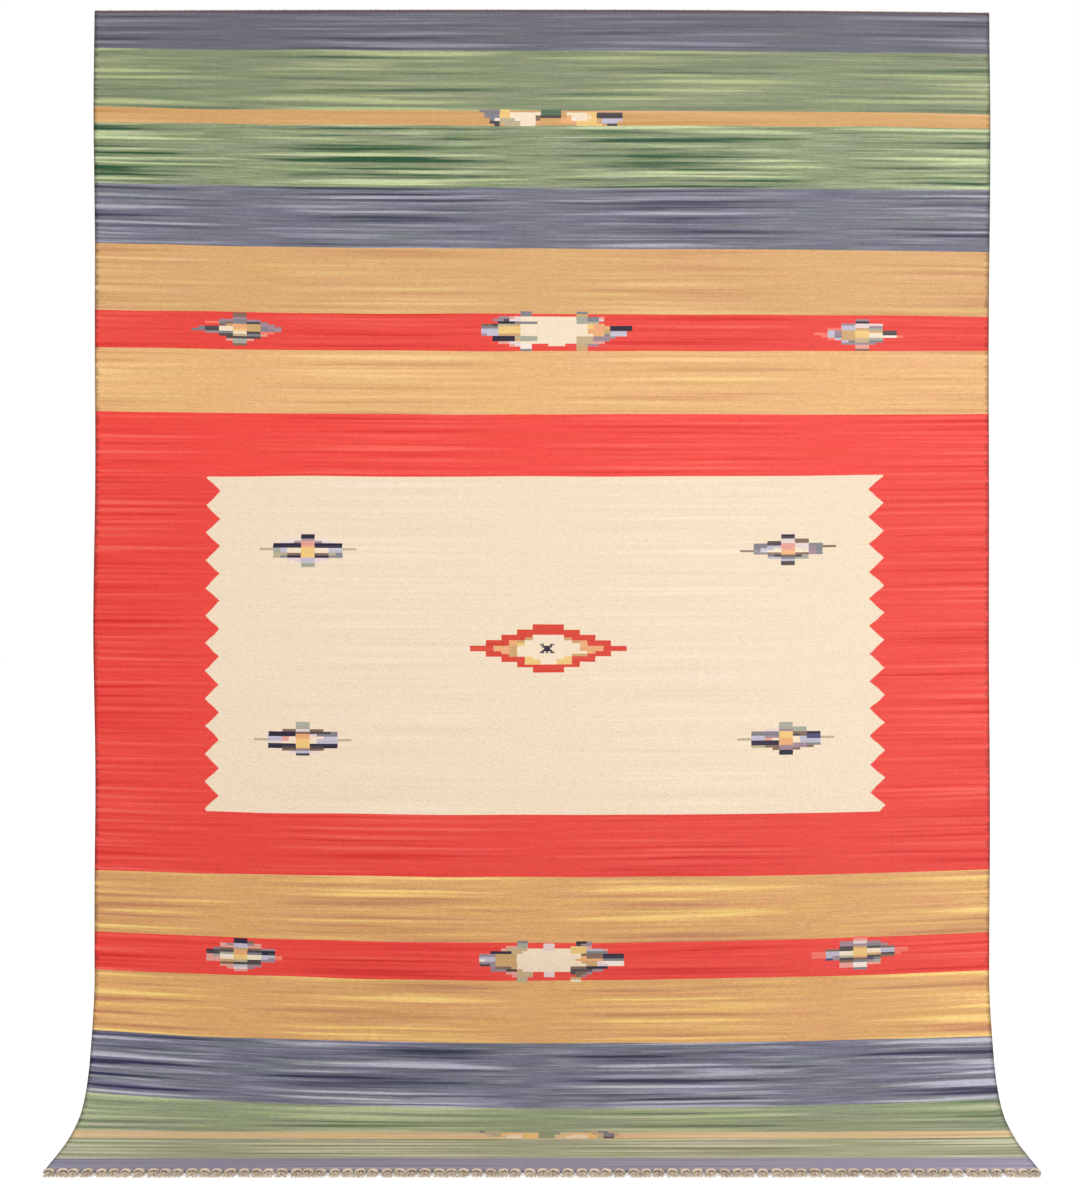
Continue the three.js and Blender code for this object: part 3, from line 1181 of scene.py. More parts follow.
@dataclass(frozen=True)
class WarpCotton:
    """The undyed cotton warp: soft twisted yarn with patches of grime, and the painted shade that each knot's
    mesh carries.

    Attributes:
        name: The material's name.
        touch: How the cotton meets the light.
        shade: Its usual colour.
        grime: The colour of its random patches of grime.
        grime_span: Where in the noise the grime begins and is complete.
        grime_strength: How strongly it shows.
        grime_size: How many patches of it there are in a millimetre.
        ply_gap: The distance between the twists of the yarn, in millimetres.
        ply_light: How much light the grooves keep, and how much more the plies have.
        fuzz_size: How many tufts of fuzz there are in a millimetre.
        fuzz_light: How much light the fuzz keeps, and how much more its tufts have.
        fuzz_relief: How high the fuzz stands, beside the plies.
    """

    name: str = "warp_cotton"
    touch: Touch = Touch(
        dullness=0.95, gloss=0.12, fuzz=0.2, fuzz_spread=0.6, relief=0.25, relief_strength=0.8
    )
    shade: Shade = (238, 221, 197)
    grime: Shade = (196, 168, 142)
    grime_span: Span = (0.4, 0.7)
    grime_strength: float = 0.45
    grime_size: float = 0.045
    ply_gap: float = 1.1
    ply_light: Span = (0.88, 0.14)
    fuzz_size: float = 1.7
    fuzz_light: Span = (0.85, 0.3)
    fuzz_relief: float = 0.7

    def make(self) -> bpy.types.Material:
        """Builds the material.

        Returns:
            The finished material.
        """
        s = Sketch(self.name)
        coords = s.node("ShaderNodeTexCoord").outputs["Object"]
        placed = self._enlarged(s, coords, 1 / MM)
        parts = s.node("ShaderNodeSeparateXYZ", {0: placed})
        slant = s.plus(s.plus(parts.outputs[0], parts.outputs[1]), parts.outputs[2])
        twist = s.math("SINE", s.times(slant, 2 * math.pi / self.ply_gap))
        ply = s.scaled(twist, 0.5, 0.5)
        fuzz = s.noise(self._enlarged(s, placed, self.fuzz_size), 3.0)
        stain = s.noise(self._enlarged(s, placed, self.grime_size), 2.0)
        worn = s.times(s.ease(stain, *self.grime_span), self.grime_strength)
        ply_shade = s.scaled(ply, self.ply_light[1], self.ply_light[0])
        light = s.times(ply_shade, s.scaled(fuzz, self.fuzz_light[1], self.fuzz_light[0]))
        # Painted shade from the mesh: darker on the knots' flanks, undersides, necks and tails.
        light = s.times(light, s.attribute("painted_light_share", "Fac"))
        colour = s.blend(worn, opaque(self.shade), opaque(self.grime))
        colour = s.blend(1.0, colour, s.join(light, light, light), "MULTIPLY")
        return s.yarn(colour, s.scaled(fuzz, self.fuzz_relief, ply), self.touch)

    @staticmethod
    def _enlarged(s: Sketch, vector: object, scale: float) -> bpy.types.NodeSocket:
        """Multiplies a vector by a number."""
        return s.node("ShaderNodeVectorMath", {0: vector, "Scale": scale}, operation="SCALE").outputs[0]


@dataclass(frozen=True)
class StudioWhite:
    """The bright, plain floor of the studio.

    Attributes:
        name: The material's name.
        paint: How light its paint is.
        dullness: How far it spreads what it reflects.
        gloss: How much it reflects.
        glow: How much light it gives of its own.
    """

    name: str = "studio_white"
    paint: float = 0.9
    dullness: float = 0.9
    gloss: float = 0.1
    glow: float = 0.3

    def make(self) -> bpy.types.Material:
        """Builds the material.

        Returns:
            The finished material.
        """
        return Sketch(self.name).surface(
            {
                "Base Color": (self.paint, self.paint, self.paint, 1.0),
                "Roughness": self.dullness,
                "Specular IOR Level": self.gloss,
                "Emission Color": (1.0, 1.0, 1.0, 1.0),
                "Emission Strength": self.glow,
            }
        )


# ---------------------------------------------------------------- pieces


def add_object(name: str, bm: bmesh.types.BMesh, material: bpy.types.Material) -> bpy.types.Object:
    """Makes a smooth-shaded object of a finished bmesh, and frees the bmesh.

    Args:
        name: The object's name.
        bm: The mesh, in metres.
        material: Its finish.

    Returns:
        The new object, at the origin.
    """
    for face in bm.faces:
        face.smooth = True
    mesh = bpy.data.meshes.new(name)
    bm.to_mesh(mesh)
    bm.free()
    mesh.materials.append(material)
    made = bpy.data.objects.new(name, mesh)
    bpy.context.scene.collection.objects.link(made)
    LOG.info("%s: %d faces", name, len(mesh.polygons))
    return made


def merged_stations(exact: Iterable[float], fillers: Iterable[float], room: float) -> list[float]:
    """Sorts the stations that must be met with those that only fill in.

    Args:
        exact: Stations that are kept, but for the second of two that all but coincide.
        fillers: Stations that are dropped where an exact one is near.
        room: How near that is.

    Returns:
        All stations in order.
    """
    coincident = 0.25
    kept: list[float] = []
    for station in sorted(set(round(value, 3) for value in exact)):
        if not kept or station - kept[-1] > coincident:
            kept.append(station)
    extra = [f for f in fillers if all(abs(f - k) > room for k in kept)]
    return sorted(kept + extra)


@dataclass
class WovenCloth:
    """The woven cloth, with its selvedges.

    Attributes:
        shape: How it hangs.
        column_gap: The most that two columns of the mesh are apart, in millimetres.
        column_room: How near an exact column a filling one may be.
        row_room: How near an exact row a filling one may be.
        selvedge_insets: The columns that round the selvedge cord, from the edge.
        end_insets: The rows that round the first and last picks.
        beat_wander: How far the edges of the bands stray, in millimetres.
        beat_size: How wide and how tall their waves are.
        beat_calm: How near the ends they run straight.
        hand_slip: How far a block of a motif strays sideways, at most.
        slip_size: How wide and how tall its waves are.
        slip_seed: Which waves they are.
        slip_calm: How far in from the selvedge it begins to die down and is gone.
    """

    shape: ClothShape = field(default_factory=ClothShape)
    column_gap: float = 24.0
    column_room: float = 8.0
    row_room: float = 3.0
    selvedge_insets: tuple[float, ...] = (0.0, 0.5, 1.4, 2.6, 5.5, 10.0, 17.0)
    end_insets: tuple[float, ...] = (0.0, 0.6, 1.8, 5.0)
    beat_wander: float = 1.5
    beat_size: Span = (150.0, 23.0)
    beat_calm: float = 30.0
    hand_slip: float = 1.2
    slip_size: Span = (9.0, 6.0)
    slip_seed: float = 8.0
    slip_calm: Span = (60.0, 20.0)

    def columns(self) -> list[float]:
        """The places across the cloth of the mesh's columns.

        Returns:
            Distances right of the middle.
        """
        exact = [side * (HALF_WIDTH - inset) for inset in self.selvedge_insets for side in (-1, 1)]
        for teeth in TEETH:
            exact += [teeth.tip + TOOTH_MARGIN * teeth.side, teeth.valley - TOOTH_MARGIN * teeth.side]
        count = math.ceil(WIDTH / self.column_gap)
        fillers = [-HALF_WIDTH + WIDTH * i / count for i in range(1, count)]
        return merged_stations(exact, fillers, self.column_room)

    def rows(self) -> list[float]:
        """The places along the cloth of the mesh's rows, by the weft's own count.

        Returns:
            Distances from the upper edge.
        """
        exact = [edge for inset in self.end_insets for edge in (inset, LENGTH - inset)]
        exact += [band.middle for band in BANDS]
        fillers = []
        start = 0.0
        for stretch in self.shape.sweep:
            count = math.ceil(stretch.length / stretch.row_gap)
            fillers += [start + stretch.length * i / count for i in range(1, count + 1)]
            start += stretch.length
        return merged_stations(exact, fillers, self.row_room)

    def run_of(self, across: float, along: float) -> float:
        """Follows a row of the weft, which bows a little from side to side.

        Args:
            across: The distance right of the middle.
            along: The row's place at the middle of the cloth.

        Returns:
            The length along the warp to the row there.
        """
        side = across / HALF_WIDTH
        above = (0.0, 0.0, 0.0)
        for band in BANDS:
            below = (band.left, band.middle, band.right)
            if along <= band.middle:
                break
            above = below
        share = (along - above[1]) / (below[1] - above[1])
        edge = 0 if across < 0 else 2
        bow = (above[edge] - above[1]) * (1 - share) + (below[edge] - below[1]) * share
        calm = smooth(along, 0, self.beat_calm) * (1 - smooth(along, LENGTH - self.beat_calm, LENGTH))
        wide, tall = self.beat_size
        stray = noise.noise(Vector((across / wide, along / tall, 0.0)))
        return along + bow * side * side + self.beat_wander * calm * stray

    def slipped(self, across: float, along: float) -> float:
        """Moves a place across the cloth a little, as no block's edge is quite straight.

        Args:
            across: The distance right of the middle.
            along: The row.

        Returns:
            The distance right of the middle, with its slip.
        """
        begins, gone = self.slip_calm
        calm = 1 - smooth(abs(across), HALF_WIDTH - begins, HALF_WIDTH - gone)
        wide, tall = self.slip_size
        stray = noise.noise(Vector((across / wide, along / tall, self.slip_seed)))
        return across + self.hand_slip * calm * stray

    def yarn_of(self, across: float, along: float) -> tuple[Yarn, float]:
        """Finds the weft at a place.

        Args:
            across: The distance right of the middle.
            along: The row.

        Returns:
            The yarn, and how much light it gives back.
        """
        for motif in reversed(MOTIFS):
            yarn = motif.yarn_at(across, along)
            if yarn is not None:
                return yarn, 1.0
        band = next(band for band in BANDS if along < band.middle)
        if band.yarn is Yarn.CREAM:
            left, right = TEETH
            if not left.tip - TOOTH_MARGIN < across < right.tip + TOOTH_MARGIN:
                return Yarn.VERMILION, PANEL_TONE
        return band.yarn, band.tone

    @staticmethod
    def toothed(across: float, along: float) -> bool:
        """Finds out whether a place lies among the field's teeth.

        Args:
            across: The distance right of the middle.
            along: The row.

        Returns:
            Whether it does.
        """
        if not FIELD_TOP < along < FIELD_FOOT:
            return False
        reaches = [sorted((teeth.tip, teeth.valley)) for teeth in TEETH]
        return any(low - TOOTH_MARGIN < across < high + TOOTH_MARGIN for low, high in reaches)

    def build(self, finish: WovenWool) -> bpy.types.Object:
        """Builds the cloth.

        Args:
            finish: Its finish.

        Returns:
            The cloth's object.
        """
        columns, rows = self.columns(), self.rows()
        bm = bmesh.new()
        flat = bm.verts.layers.float_vector.new("flat")
        bmesh.ops.create_grid(bm, x_segments=len(columns) - 1, y_segments=len(rows) - 1, size=1.0)
        for vert in bm.verts:
            column = round((vert.co.x + 1) / 2 * (len(columns) - 1))
            row = round((vert.co.y + 1) / 2 * (len(rows) - 1))
            vert.co = (columns[column], rows[row], 0.0)
        self._cut_motifs(bm)
        for vert in bm.verts:
            vert[flat] = vert.co
        front = bm.verts[:]
        twins = bmesh.ops.duplicate(bm, geom=bm.verts[:] + bm.edges[:] + bm.faces[:])["vert_map"]
        for vert in front:
            across, along, _ = vert[flat]
            run = self.run_of(across, along)
            slip = self.slipped(across, along)
            middle = self.shape.middle(slip, run)
            offset = self.shape.facing(slip, run) * self.shape.thickness(across, along) / 2
            vert.co = (middle + offset) * MM
            under = (middle - offset) * MM
            under.z = max(under.z, 0.0)
            twins[vert].co = under
        bmesh.ops.bridge_loops(bm, edges=[edge for edge in bm.edges if edge.is_boundary])
        bmesh.ops.recalc_face_normals(bm, faces=bm.faces[:])
        self._paint(bm, flat)
        return add_object("woven_cloth", bm, finish.make())

    @staticmethod
    def _cut_motifs(bm: bmesh.types.BMesh) -> None:
        """Cuts the flat cloth along the edges of every motif's blocks, and no further.

        Args:
            bm: The flat mesh, with X across the cloth and Y along it.
        """
        right, down = Vector((1.0, 0.0, 0.0)), Vector((0.0, 1.0, 0.0))
        for motif in MOTIFS:
            columns, rows = motif.column_edges(), motif.row_edges()
            faces = [face for face in bm.faces if motif.touches(face)]
            outline = [(edge, right) for edge in (columns[0], columns[-1])]
            outline += [(edge, down) for edge in (rows[0], rows[-1])]
            blocks = [(edge, right) for edge in columns[1:-1]]
            blocks += [(edge, down) for edge in rows[1:-1]]
            for edge, facing in outline + blocks:
                faces = [face for face in faces if motif.touches(face)]
                edges = {side for face in faces for side in face.edges}
                verts = {vert for face in faces for vert in face.verts}
                cut = bmesh.ops.bisect_plane(
                    bm, geom=[*verts, *edges, *faces], dist=CUT_SNAP, plane_co=edge * facing, plane_no=facing
                )
                faces = [part for part in cut["geom"] if isinstance(part, bmesh.types.BMFace)]

    def _paint(self, bm: bmesh.types.BMesh, flat: bmesh.types.BMLayerItem) -> None:
        """Gives each face its yarn's shades, and each corner its place in the weave.

        Args:
            bm: The mesh.
            flat: Each vertex's place on the flat cloth.
        """
        uv = bm.loops.layers.uv.new("weave")
        usual = bm.loops.layers.float_color.new("dye")
        dark = bm.loops.layers.float_color.new("dye_dark")
        light = bm.loops.layers.float_color.new("dye_light")
        toothed = bm.faces.layers.float.new("toothed")
        last_pick = LENGTH - 0.1
        shades: dict[tuple[Yarn, float], list[tuple[float, ...]]] = {}
        for face in bm.faces:
            spots = [vert[flat] for vert in face.verts]
            across = sum(spot[0] for spot in spots) / len(spots)
            along = min(sum(spot[1] for spot in spots) / len(spots), last_pick)
            key = self.yarn_of(across, along)
            if key not in shades:
                dye, tone = key[0].value, key[1]
                marks = ((dye.usual, dye.unevenness), (dye.dark, dye.lot), (dye.light, 1.0))
                shades[key] = [(*linear(shade, tone), mark) for shade, mark in marks]
            face[toothed] = 1.0 if self.toothed(across, along) else 0.0
            for loop, spot in zip(face.loops, spots):
                loop[usual], loop[dark], loop[light] = shades[key]
                loop[uv].uv = ((spot[0] + HALF_WIDTH) / WIDTH, (LENGTH - spot[1]) / LENGTH)


class KnotEnd(Enum):
    """The two ends of the rug whose warps are knotted off."""

    FOOT = "foot_fringe"
    HEAD = "head_fringe"


@dataclass
class KnotRow:
    """A row of knots that ties off the warps at one end of the rug.

    Sizes are in millimetres. A knot is tied straight, with X across it, Y away from the cloth's edge and Z up
    from the yarns' middle, and then laid on the floor or back over the hanging edge.

    Attributes:
        end: Which end it is.
        shape: How the cloth hangs.
        count: How many knots there are.
        patterns: How many knots are tied before they are repeated.
        warps: How many warps go into each.
        yarn_radius: Half the thickness of a warp.
        yarn_sides: How many sides a yarn has.
        yarn_swell: How much thicker a warp is at each point of its path.
        root_reach: How far a warp reaches into the cloth's edge.
        neck: Where a warp has left the cloth, bends in and reaches the throat, from the cloth's edge.
        throat_width: Half the width of the gathered warps.
        throat_height: How far they lie above and below each other.
        throat_turn: How far round the throat each next warp lies, in radians.
        knot_at: How far from the cloth's edge a knot's middle is.
        knot_half_depth: How far the knot reaches either side of it.
        knot_half_width: Half a knot's width.
        knot_half_height: Half its height.
        turns: The turns of the knot: how far each is from its middle, and its half thickness.
        turn_steps: How many steps a turn has.
        turn_tilt: The least and the most that the turns lie across the knot, in degrees.
        turn_slack: How much a single turn may differ in its tilt and its lean, in degrees.
        cross_turn: The turn that crosses the others, given in the same way.
        cross_tilt: Its tilt, as a share of theirs.
        cross_slack: How far it may lean, in degrees.
        tail_reach: How far from the cloth's edge its tails end.
        tail_shortest: The shortest tail, as a share of that.
        tail_fan: The least and the most that the tails spread to either side.
        tail_slack: How far a single tail may differ from its place in the fan.
        tail_droop: The least and the most that a tail's tip is raised.
        seed: The source of the row's accidents.
        stray: How far a knot is out of line, by two waves along the row.
        stray_waves: How far each wave turns from knot to knot, in radians.
        lean: How far its tails lean to one side.
        lean_wave: How far that changes from knot to knot, and where it starts, in radians.
        lean_from: How far from the cloth's edge it begins.
        loosening: Where a knot is free of the cloth's edge.
        plumpness: The least and the most that a knot is swollen.
        clean: The least and the most light that a knot gives back.
        flank_shade: How much darker its flanks are.
        flank_start: Where they begin, as a share of its half width.
        under_shade: How much darker its underside is.
        neck_shade: How much darker the warps are before the knot.
        neck_end: Where that fades and is gone, from the knot's middle.
        tail_shade: How much darker the tails are.
        tail_start: Where they begin, from the knot's middle.
        floor_gap: How far the lowest yarn is kept off the floor.
        knot_gap: How far a knot's underside would be off it.
        hem_height: The height of the warps where they leave the cloth.
        knot_rise: Where the knot rises from them, away from the cloth's edge.
        tail_height: The height of the tails.
        tail_fall: Where they come down to it.
        fold_start: How far above the hanging edge the warps turn back.
        fold_radius: How tightly they turn.
        fold_swell: Where the knot lifts them off the back of the cloth, past the fold.
        fold_ebb: Where their tails come back to it.
        fold_lift: How far it lifts them, as a share of its half height.
    """

    end: KnotEnd
    shape: ClothShape = field(default_factory=ClothShape)
    count: int = 77
    patterns: int = 7
    warps: int = 6
    yarn_radius: float = 0.85
    yarn_sides: int = 6
    yarn_swell: tuple[float, ...] = (1.0, 1.0, 1.0, 1.1, 1.1, 1.05, 0.8)
    root_reach: float = 1.0
    neck: tuple[float, float, float] = (1.2, 3.4, 6.2)
    throat_width: float = 5.6
    throat_height: float = 0.9
    throat_turn: float = 2.4
    knot_at: float = 10.4
    knot_half_depth: float = 3.0
    knot_half_width: float = 9.3
    knot_half_height: float = 4.4
    turns: tuple[Span, ...] = ((-2.5, 1.35), (-0.1, 1.55), (2.3, 1.35))
    turn_steps: int = 12
    turn_tilt: Span = (8.0, 18.0)
    turn_slack: Span = (5.0, 8.0)
    cross_turn: Span = (0.2, 1.2)
    cross_tilt: float = -1.5
    cross_slack: float = 10.0
    tail_reach: float = 24.5
    tail_shortest: float = 0.88
    tail_fan: Span = (7.6, 9.4)
    tail_slack: float = 0.6
    tail_droop: Span = (-0.5, 0.3)
    seed: int = 31
    stray: Span = (0.4, 0.3)
    stray_waves: Span = (2.4, 5.1)
    lean: float = 0.14
    lean_wave: Span = (1.7, 0.6)
    lean_from: float = 3.0
    loosening: Span = (0.5, 6.0)
    plumpness: Span = (0.94, 1.04)
    clean: Span = (0.86, 1.0)
    flank_shade: float = 0.7
    flank_start: float = 0.62
    under_shade: float = 0.28
    neck_shade: float = 0.4
    neck_end: Span = (-4.6, -3.0)
    tail_shade: float = 0.12
    tail_start: Span = (3.0, 5.0)
    floor_gap: float = 0.02
    knot_gap: float = 0.1
    hem_height: float = 2.0
    knot_rise: Span = (1.0, 6.5)
    tail_height: float = 1.4
    tail_fall: Span = (13.0, 18.5)
    fold_start: float = 0.2
    fold_radius: float = 1.6
    fold_swell: Span = (-2.0, 2.0)
    fold_ebb: Span = (3.5, 9.0)
    fold_lift: float = 0.55

    @property
    def pitch(self) -> float:
        """The distance from knot to knot."""
        return WIDTH / self.count

    def strand(self, bm: bmesh.types.BMesh, points: Sequence[Vector], radii: Sequence[float]) -> None:
        """Draws one yarn as a closed tube, by extruding a disc from point to point.

        Args:
            bm: The mesh to add it to.
            points: The yarn's path.
            radii: Its half thickness at each point.
        """
        frames = [self._frame_at(points, radii, index) for index in range(len(points))]
        ring = bmesh.ops.create_circle(
            bm, cap_ends=True, radius=1.0, segments=self.yarn_sides, matrix=frames[0]
        )
        cap = ring["verts"][0].link_faces[0]
        for was, now in zip(frames, frames[1:]):
            cap = bmesh.ops.extrude_discrete_faces(bm, faces=[cap])["faces"][0]
            step = now @ was.inverted()
            for vert in cap.verts:
                vert.co = step @ vert.co

    @staticmethod
    def _frame_at(points: Sequence[Vector], radii: Sequence[float], index: int) -> Matrix:
        """Finds how a unit circle lies round a yarn at a point of its path.

        Args:
            points: The path.
            radii: The half thickness at each point.
            index: Which point.

        Returns:
            The matrix that takes the circle there, with its Z axis along the path.
        """
        ahead = points[min(index + 1, len(points) - 1)] - points[max(index - 1, 0)]
        turn = ahead.to_track_quat("Z", "Y").to_matrix().to_4x4()
        return Matrix.Translation(points[index]) @ turn @ Matrix.Scale(radii[index], 4)

    def wrap(self, bm: bmesh.types.BMesh, at: float, tilt: float, lean: float, girth: float) -> None:
        """Winds one turn of yarn round the knot.

        Args:
            bm: The mesh to add it to.
            at: Where it is along the knot.
            tilt: How far it turns across the knot, in degrees.
            lean: How far it leans back, in degrees.
            girth: Its half thickness.
        """
        known = set(bm.verts)
        made = bmesh.ops.create_circle(bm, cap_ends=False, radius=girth, segments=self.yarn_sides)
        wide = self.knot_half_width - girth
        for vert in made["verts"]:
            vert.co = Vector((vert.co.x + wide, 0.0, vert.co.y))
        edges = {edge for vert in made["verts"] for edge in vert.link_edges}
        bmesh.ops.spin(
            bm,
            geom=made["verts"] + list(edges),
            cent=(0.0, 0.0, 0.0),
            axis=(0.0, 0.0, 1.0),
            angle=2 * math.pi,
            steps=self.turn_steps,
            use_merge=True,
        )
        ring = [vert for vert in bm.verts if vert not in known]
        squash = Matrix.Diagonal((1.0, self.knot_half_height / self.knot_half_width, 1.0, 1.0))
        upright = Matrix.Rotation(math.radians(90), 4, "X")
        turn = Matrix.Rotation(math.radians(tilt), 4, "Z") @ Matrix.Rotation(math.radians(lean), 4, "X")
        bmesh.ops.transform(bm, matrix=Matrix.Translation((0, at, 0)) @ turn @ upright @ squash, verts=ring)

    def warp_path(self, index: int, luck: random.Random) -> list[Vector]:
        """Routes one warp from the cloth's edge through the knot to its tail.

        Args:
            index: Which warp of the knot it is.
            luck: The source of its small accidents.

        Returns:
            The points of its path.
        """
        share = (index + 0.5) / self.warps * 2 - 1
        root = share * self.pitch / 2
        throat = share * self.throat_width
        low = self.throat_height * math.sin(index * self.throat_turn)
        fan = share * luck.uniform(*self.tail_fan) + luck.uniform(-self.tail_slack, self.tail_slack)
        tail = self.tail_reach * luck.uniform(self.tail_shortest, 1.0)
        hem, bend, gathered = self.neck
        mouth = self.knot_at + self.knot_half_depth
        return [
            Vector((root, -self.root_reach, 0.0)),
            Vector((root, hem, 0.0)),
            Vector((root * 0.72 + throat * 0.28, bend, low * 0.5)),
            Vector((throat, gathered, low)),
            Vector((throat * 0.9, mouth, low)),
            Vector((throat + (fan - throat) * 0.35, mouth + (tail - mouth) * 0.4, low * 0.9)),
            Vector((fan, tail, low * 0.6 + luck.uniform(*self.tail_droop))),
        ]

    def template(self, luck: random.Random) -> bpy.types.Mesh:
        """Ties one knot, laid straight.

        Args:
            luck: The source of its small accidents.

        Returns:
            The knot's mesh, in millimetres.
        """
        bm = bmesh.new()
        radii = [self.yarn_radius * swell for swell in self.yarn_swell]
        for index in range(self.warps):
            self.strand(bm, self.warp_path(index, luck), radii)
        tilt = luck.choice((-1, 1)) * luck.uniform(*self.turn_tilt)
        tilt_slack, lean_slack = self.turn_slack
        for offset, girth in self.turns:
            own_tilt = tilt + luck.uniform(-tilt_slack, tilt_slack)
            self.wrap(bm, self.knot_at + offset, own_tilt, luck.uniform(-lean_slack, lean_slack), girth)
        offset, girth = self.cross_turn
        lean = luck.uniform(-self.cross_slack, self.cross_slack)
        self.wrap(bm, self.knot_at + offset, self.cross_tilt * tilt, lean, girth)
        bmesh.ops.recalc_face_normals(bm, faces=bm.faces[:])
        mesh = bpy.data.meshes.new("knot_pattern")
        bm.to_mesh(mesh)
        bm.free()
        return mesh

    def _lie_on_floor(self, across: float, away: float, up: float) -> Vector:
        """Lays a point of a straight knot along the floor.

        Args:
            across: Its place across the rug.
            away: Its distance from the cloth's edge.
            up: Its height above the yarns' middle.

        Returns:
            The point, in millimetres.
        """
        edge = self.shape.middle(across, LENGTH)
        resting = self.knot_half_height + self.knot_gap
        rise = self.hem_height + (resting - self.hem_height) * smooth(away, *self.knot_rise)
        rise += (self.tail_height - resting) * smooth(away, *self.tail_fall)
        return Vector((across, edge.y - away, max(rise + up, self.floor_gap)))

    def _lie_behind_edge(self, across: float, away: float, up: float) -> Vector:
        """Lays a point of a straight knot back over the hanging edge.

        Args:
            across: Its place across the rug.
            away: Its distance from the cloth's edge.
            up: Its height above the yarns' middle.

        Returns:
            The point, in millimetres.
        """
        edge = self.shape.middle(across, 0.0)
        if away < self.fold_start:
            return Vector((across, edge.y - up, edge.z + away))
        turn = min((away - self.fold_start) / self.fold_radius, math.pi)
        over = away - self.fold_start - turn * self.fold_radius
        reach = self.fold_radius + up
        lift = self.knot_half_height * self.fold_lift
        lift *= smooth(over, *self.fold_swell) * (1 - smooth(over, *self.fold_ebb))
        back = edge.y + self.fold_radius - reach * math.cos(turn) + lift
        return Vector((across, back, edge.z + self.fold_start + reach * math.sin(turn) - over))

    def build(self, finish: bpy.types.Material) -> bpy.types.Object:
        """Ties the whole row.

        Args:
            finish: The warp's material.

        Returns:
            The row's object.
        """
        lie = self._lie_on_floor if self.end is KnotEnd.FOOT else self._lie_behind_edge
        luck = random.Random(len(self.end.value) * self.seed)
        patterns = [self.template(luck) for _ in range(self.patterns)]
        bm = bmesh.new()
        painted_light_share: list[float] = []
        for index in range(self.count):
            start = len(bm.verts)
            bm.from_mesh(patterns[luck.randrange(len(patterns))])
            bm.verts.ensure_lookup_table()
            middle = -HALF_WIDTH + self.pitch * (index + 0.5)
            stray = sum(far * math.sin(wave * index) for far, wave in zip(self.stray, self.stray_waves))
            lean = self.lean * math.sin(self.lean_wave[0] * index + self.lean_wave[1])
            plump = luck.uniform(*self.plumpness)
            clean = luck.uniform(*self.clean)
            mirror = luck.choice((-1, 1))
            for vert in bm.verts[start:]:
                x, away, up = vert.co
                # Painted shade on the knot, scaled by the knot's own random tone.
                painted_light_share.append(clean * self.open_to_light(x, away, up))
                loose = smooth(away, *self.loosening)
                aside = stray * loose + lean * max(away - self.lean_from, 0.0)
                x = mirror * x * (1 + (plump - 1) * loose) + aside
                vert.co = lie(middle + x, away, up * plump) * MM
        for mesh in patterns:
            bpy.data.meshes.remove(mesh)
        layer = bm.verts.layers.float.new("painted_light_share")
        for vert, share in zip(bm.verts, painted_light_share):
            vert[layer] = share
        return add_object(self.end.value, bm, finish)

    def open_to_light(self, across: float, away: float, up: float) -> float:
        """How much light is left at a point of a straight knot: painted shade darkens it between the knots,
        low down, at its neck and on its tails.

        Args:
            across: Its place across the knot.
            away: Its distance from the cloth's edge.
            up: Its height above the yarns' middle.

        Returns:
            A share of the light, from 0 to 1.
        """
        if self.end is KnotEnd.HEAD:
            return 1.0
        past = away - self.knot_at
        flank = self.flank_shade * smooth(abs(across) / self.knot_half_width, self.flank_start, 1.0)
        under = self.under_shade * (1 - smooth(up, -self.knot_half_height, 0.0))
        neck = self.neck_shade * (1 - smooth(past, *self.neck_end))
        tail = self.tail_shade * smooth(past, *self.tail_start)
        return (1 - flank) * (1 - under) * (1 - neck) * (1 - tail)


@dataclass(frozen=True)
class Panel:
    """A square soft light. Sizes are in metres.

    Attributes:
        name: The light's name.
        place: Where it hangs.
        aim: What it points at.
        size: The length of its side.
        power: Its power in watts.
    """

    name: str
    place: tuple[float, float, float]
    aim: tuple[float, float, float]
    size: float
    power: float


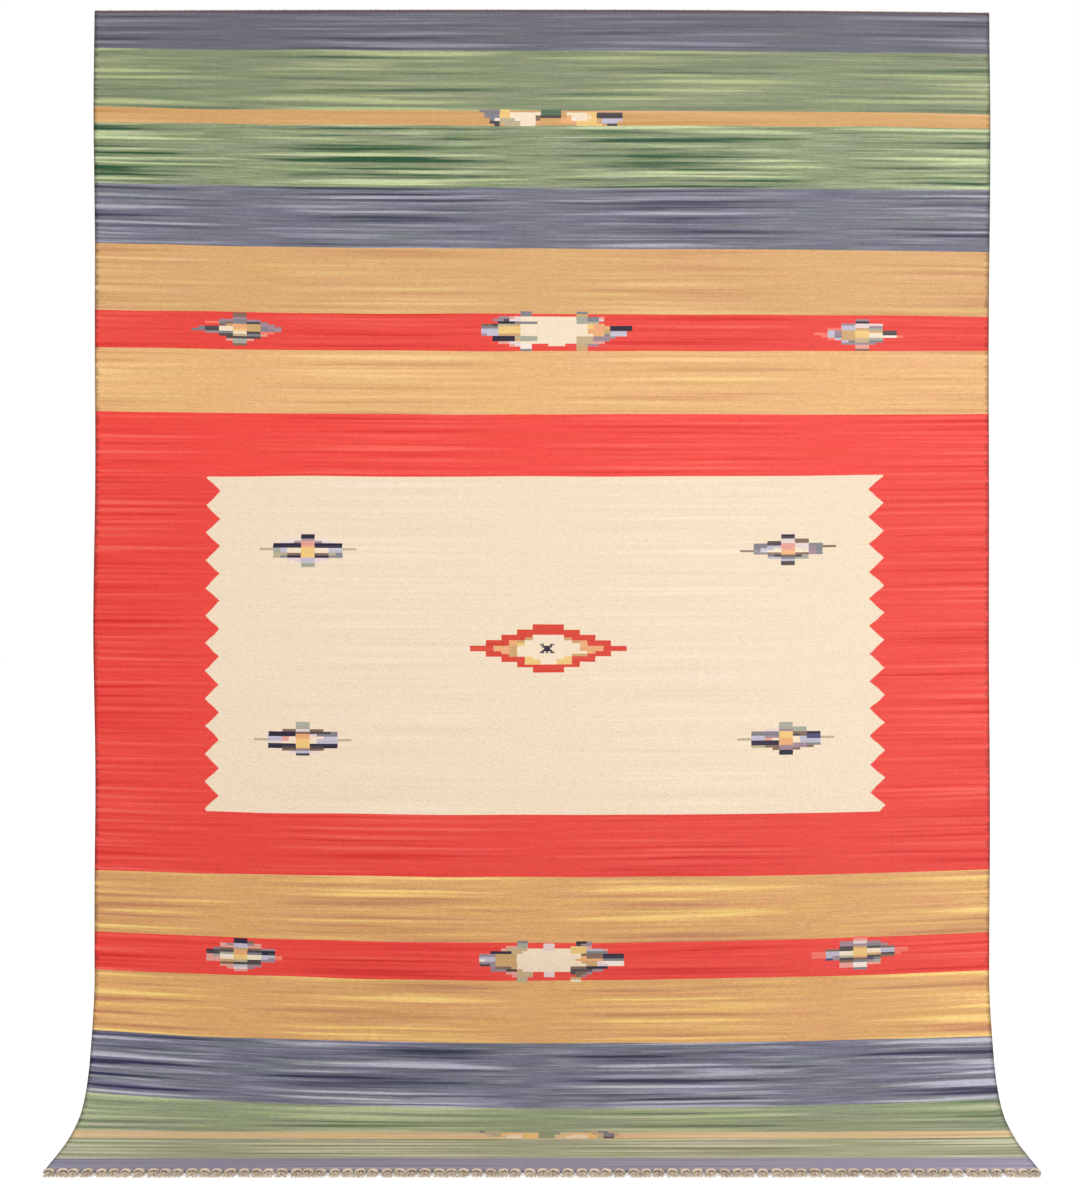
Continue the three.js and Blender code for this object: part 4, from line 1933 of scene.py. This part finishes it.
@dataclass
class Studio:
    """The plain white studio: floor, light and camera. Sizes are in metres.

    Attributes:
        floor_radius: How far the floor reaches.
        floor_sides: How many sides its edge has.
        floor_drop: How far its surface is below the rug, to keep the two apart.
        camera_place: Where the camera stands.
        lens: Its focal length, in millimetres.
        sensor: The width of its sensor, in millimetres.
        lens_drop: How far its lens is lowered, as a share of the frame's longer side.
        sky: The strength of the light from all round.
        panels: The soft lights.
    """

    floor_radius: float = 14.0
    floor_sides: int = 96
    floor_drop: float = 0.0003
    camera_place: tuple[float, float, float] = (-0.003, -3.07, 0.868)
    lens: float = 62.9
    sensor: float = 36.0
    lens_drop: float = 0.0313
    sky: float = 1.0
    panels: tuple[Panel, ...] = (
        Panel("key_light", place=(2.4, -2.2, 1.1), aim=(0.3, 0.0, 0.8), size=1.6, power=13.0),
        Panel("top_light", place=(0.2, -2.4, 2.6), aim=(0.1, -0.3, 0.4), size=2.4, power=14.0),
    )

    def build(self) -> None:
        """Builds the floor, the lights and the camera."""
        bm = bmesh.new()
        bmesh.ops.create_circle(bm, cap_ends=True, radius=self.floor_radius, segments=self.floor_sides)
        bmesh.ops.translate(bm, vec=(0.0, 0.0, -self.floor_drop), verts=bm.verts[:])
        add_object("studio_floor", bm, StudioWhite().make())
        self._light_sky()
        for panel in self.panels:
            self._hang(panel)
        self._add_camera()

    def _light_sky(self) -> None:
        """Lights the studio evenly from all round."""
        world = bpy.data.worlds.new("studio_sky")
        world.use_nodes = True
        background = world.node_tree.nodes["Background"]
        background.inputs["Color"].default_value = (1.0, 1.0, 1.0, 1.0)
        background.inputs["Strength"].default_value = self.sky
        bpy.context.scene.world = world

    @staticmethod
    def _hang(panel: Panel) -> None:
        """Hangs one soft light.

        Args:
            panel: The light.
        """
        data = bpy.data.lights.new(panel.name, "AREA")
        data.size = panel.size
        data.energy = panel.power
        lamp = bpy.data.objects.new(panel.name, data)
        lamp.location = panel.place
        lamp.rotation_euler = (Vector(panel.aim) - Vector(panel.place)).to_track_quat("-Z", "Y").to_euler()
        bpy.context.scene.collection.objects.link(lamp)

    def _add_camera(self) -> None:
        """Sets the camera level and square to the rug."""
        data = bpy.data.cameras.new("camera")
        data.lens = self.lens
        data.sensor_width = self.sensor
        data.shift_y = -self.lens_drop
        camera = bpy.data.objects.new("camera", data)
        camera.location = self.camera_place
        camera.rotation_euler = (math.pi / 2, 0.0, 0.0)
        bpy.context.scene.collection.objects.link(camera)
        bpy.context.scene.camera = camera
        bpy.context.scene.view_settings.view_transform = "Standard"


def main() -> None:
    """Builds the rug and its studio in order."""
    logging.basicConfig(level=logging.INFO, format="%(name)s %(message)s")
    Studio().build()
    cloth = WovenCloth().build(WovenWool())
    cotton = WarpCotton().make()
    foot = KnotRow(KnotEnd.FOOT).build(cotton)
    head = KnotRow(KnotEnd.HEAD).build(cotton)
    table = (
        (cloth, "rug_cloth", "woven_wool"),
        (foot, "foot_knots", "warp_cotton"),
        (head, "head_knots", "warp_cotton"),
    )
    for piece, node, slot in table:
        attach(piece, "root")
        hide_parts(node)
        LOG.info("%s stands for %s", piece.name, node)


if __name__ == "__main__":
    main()
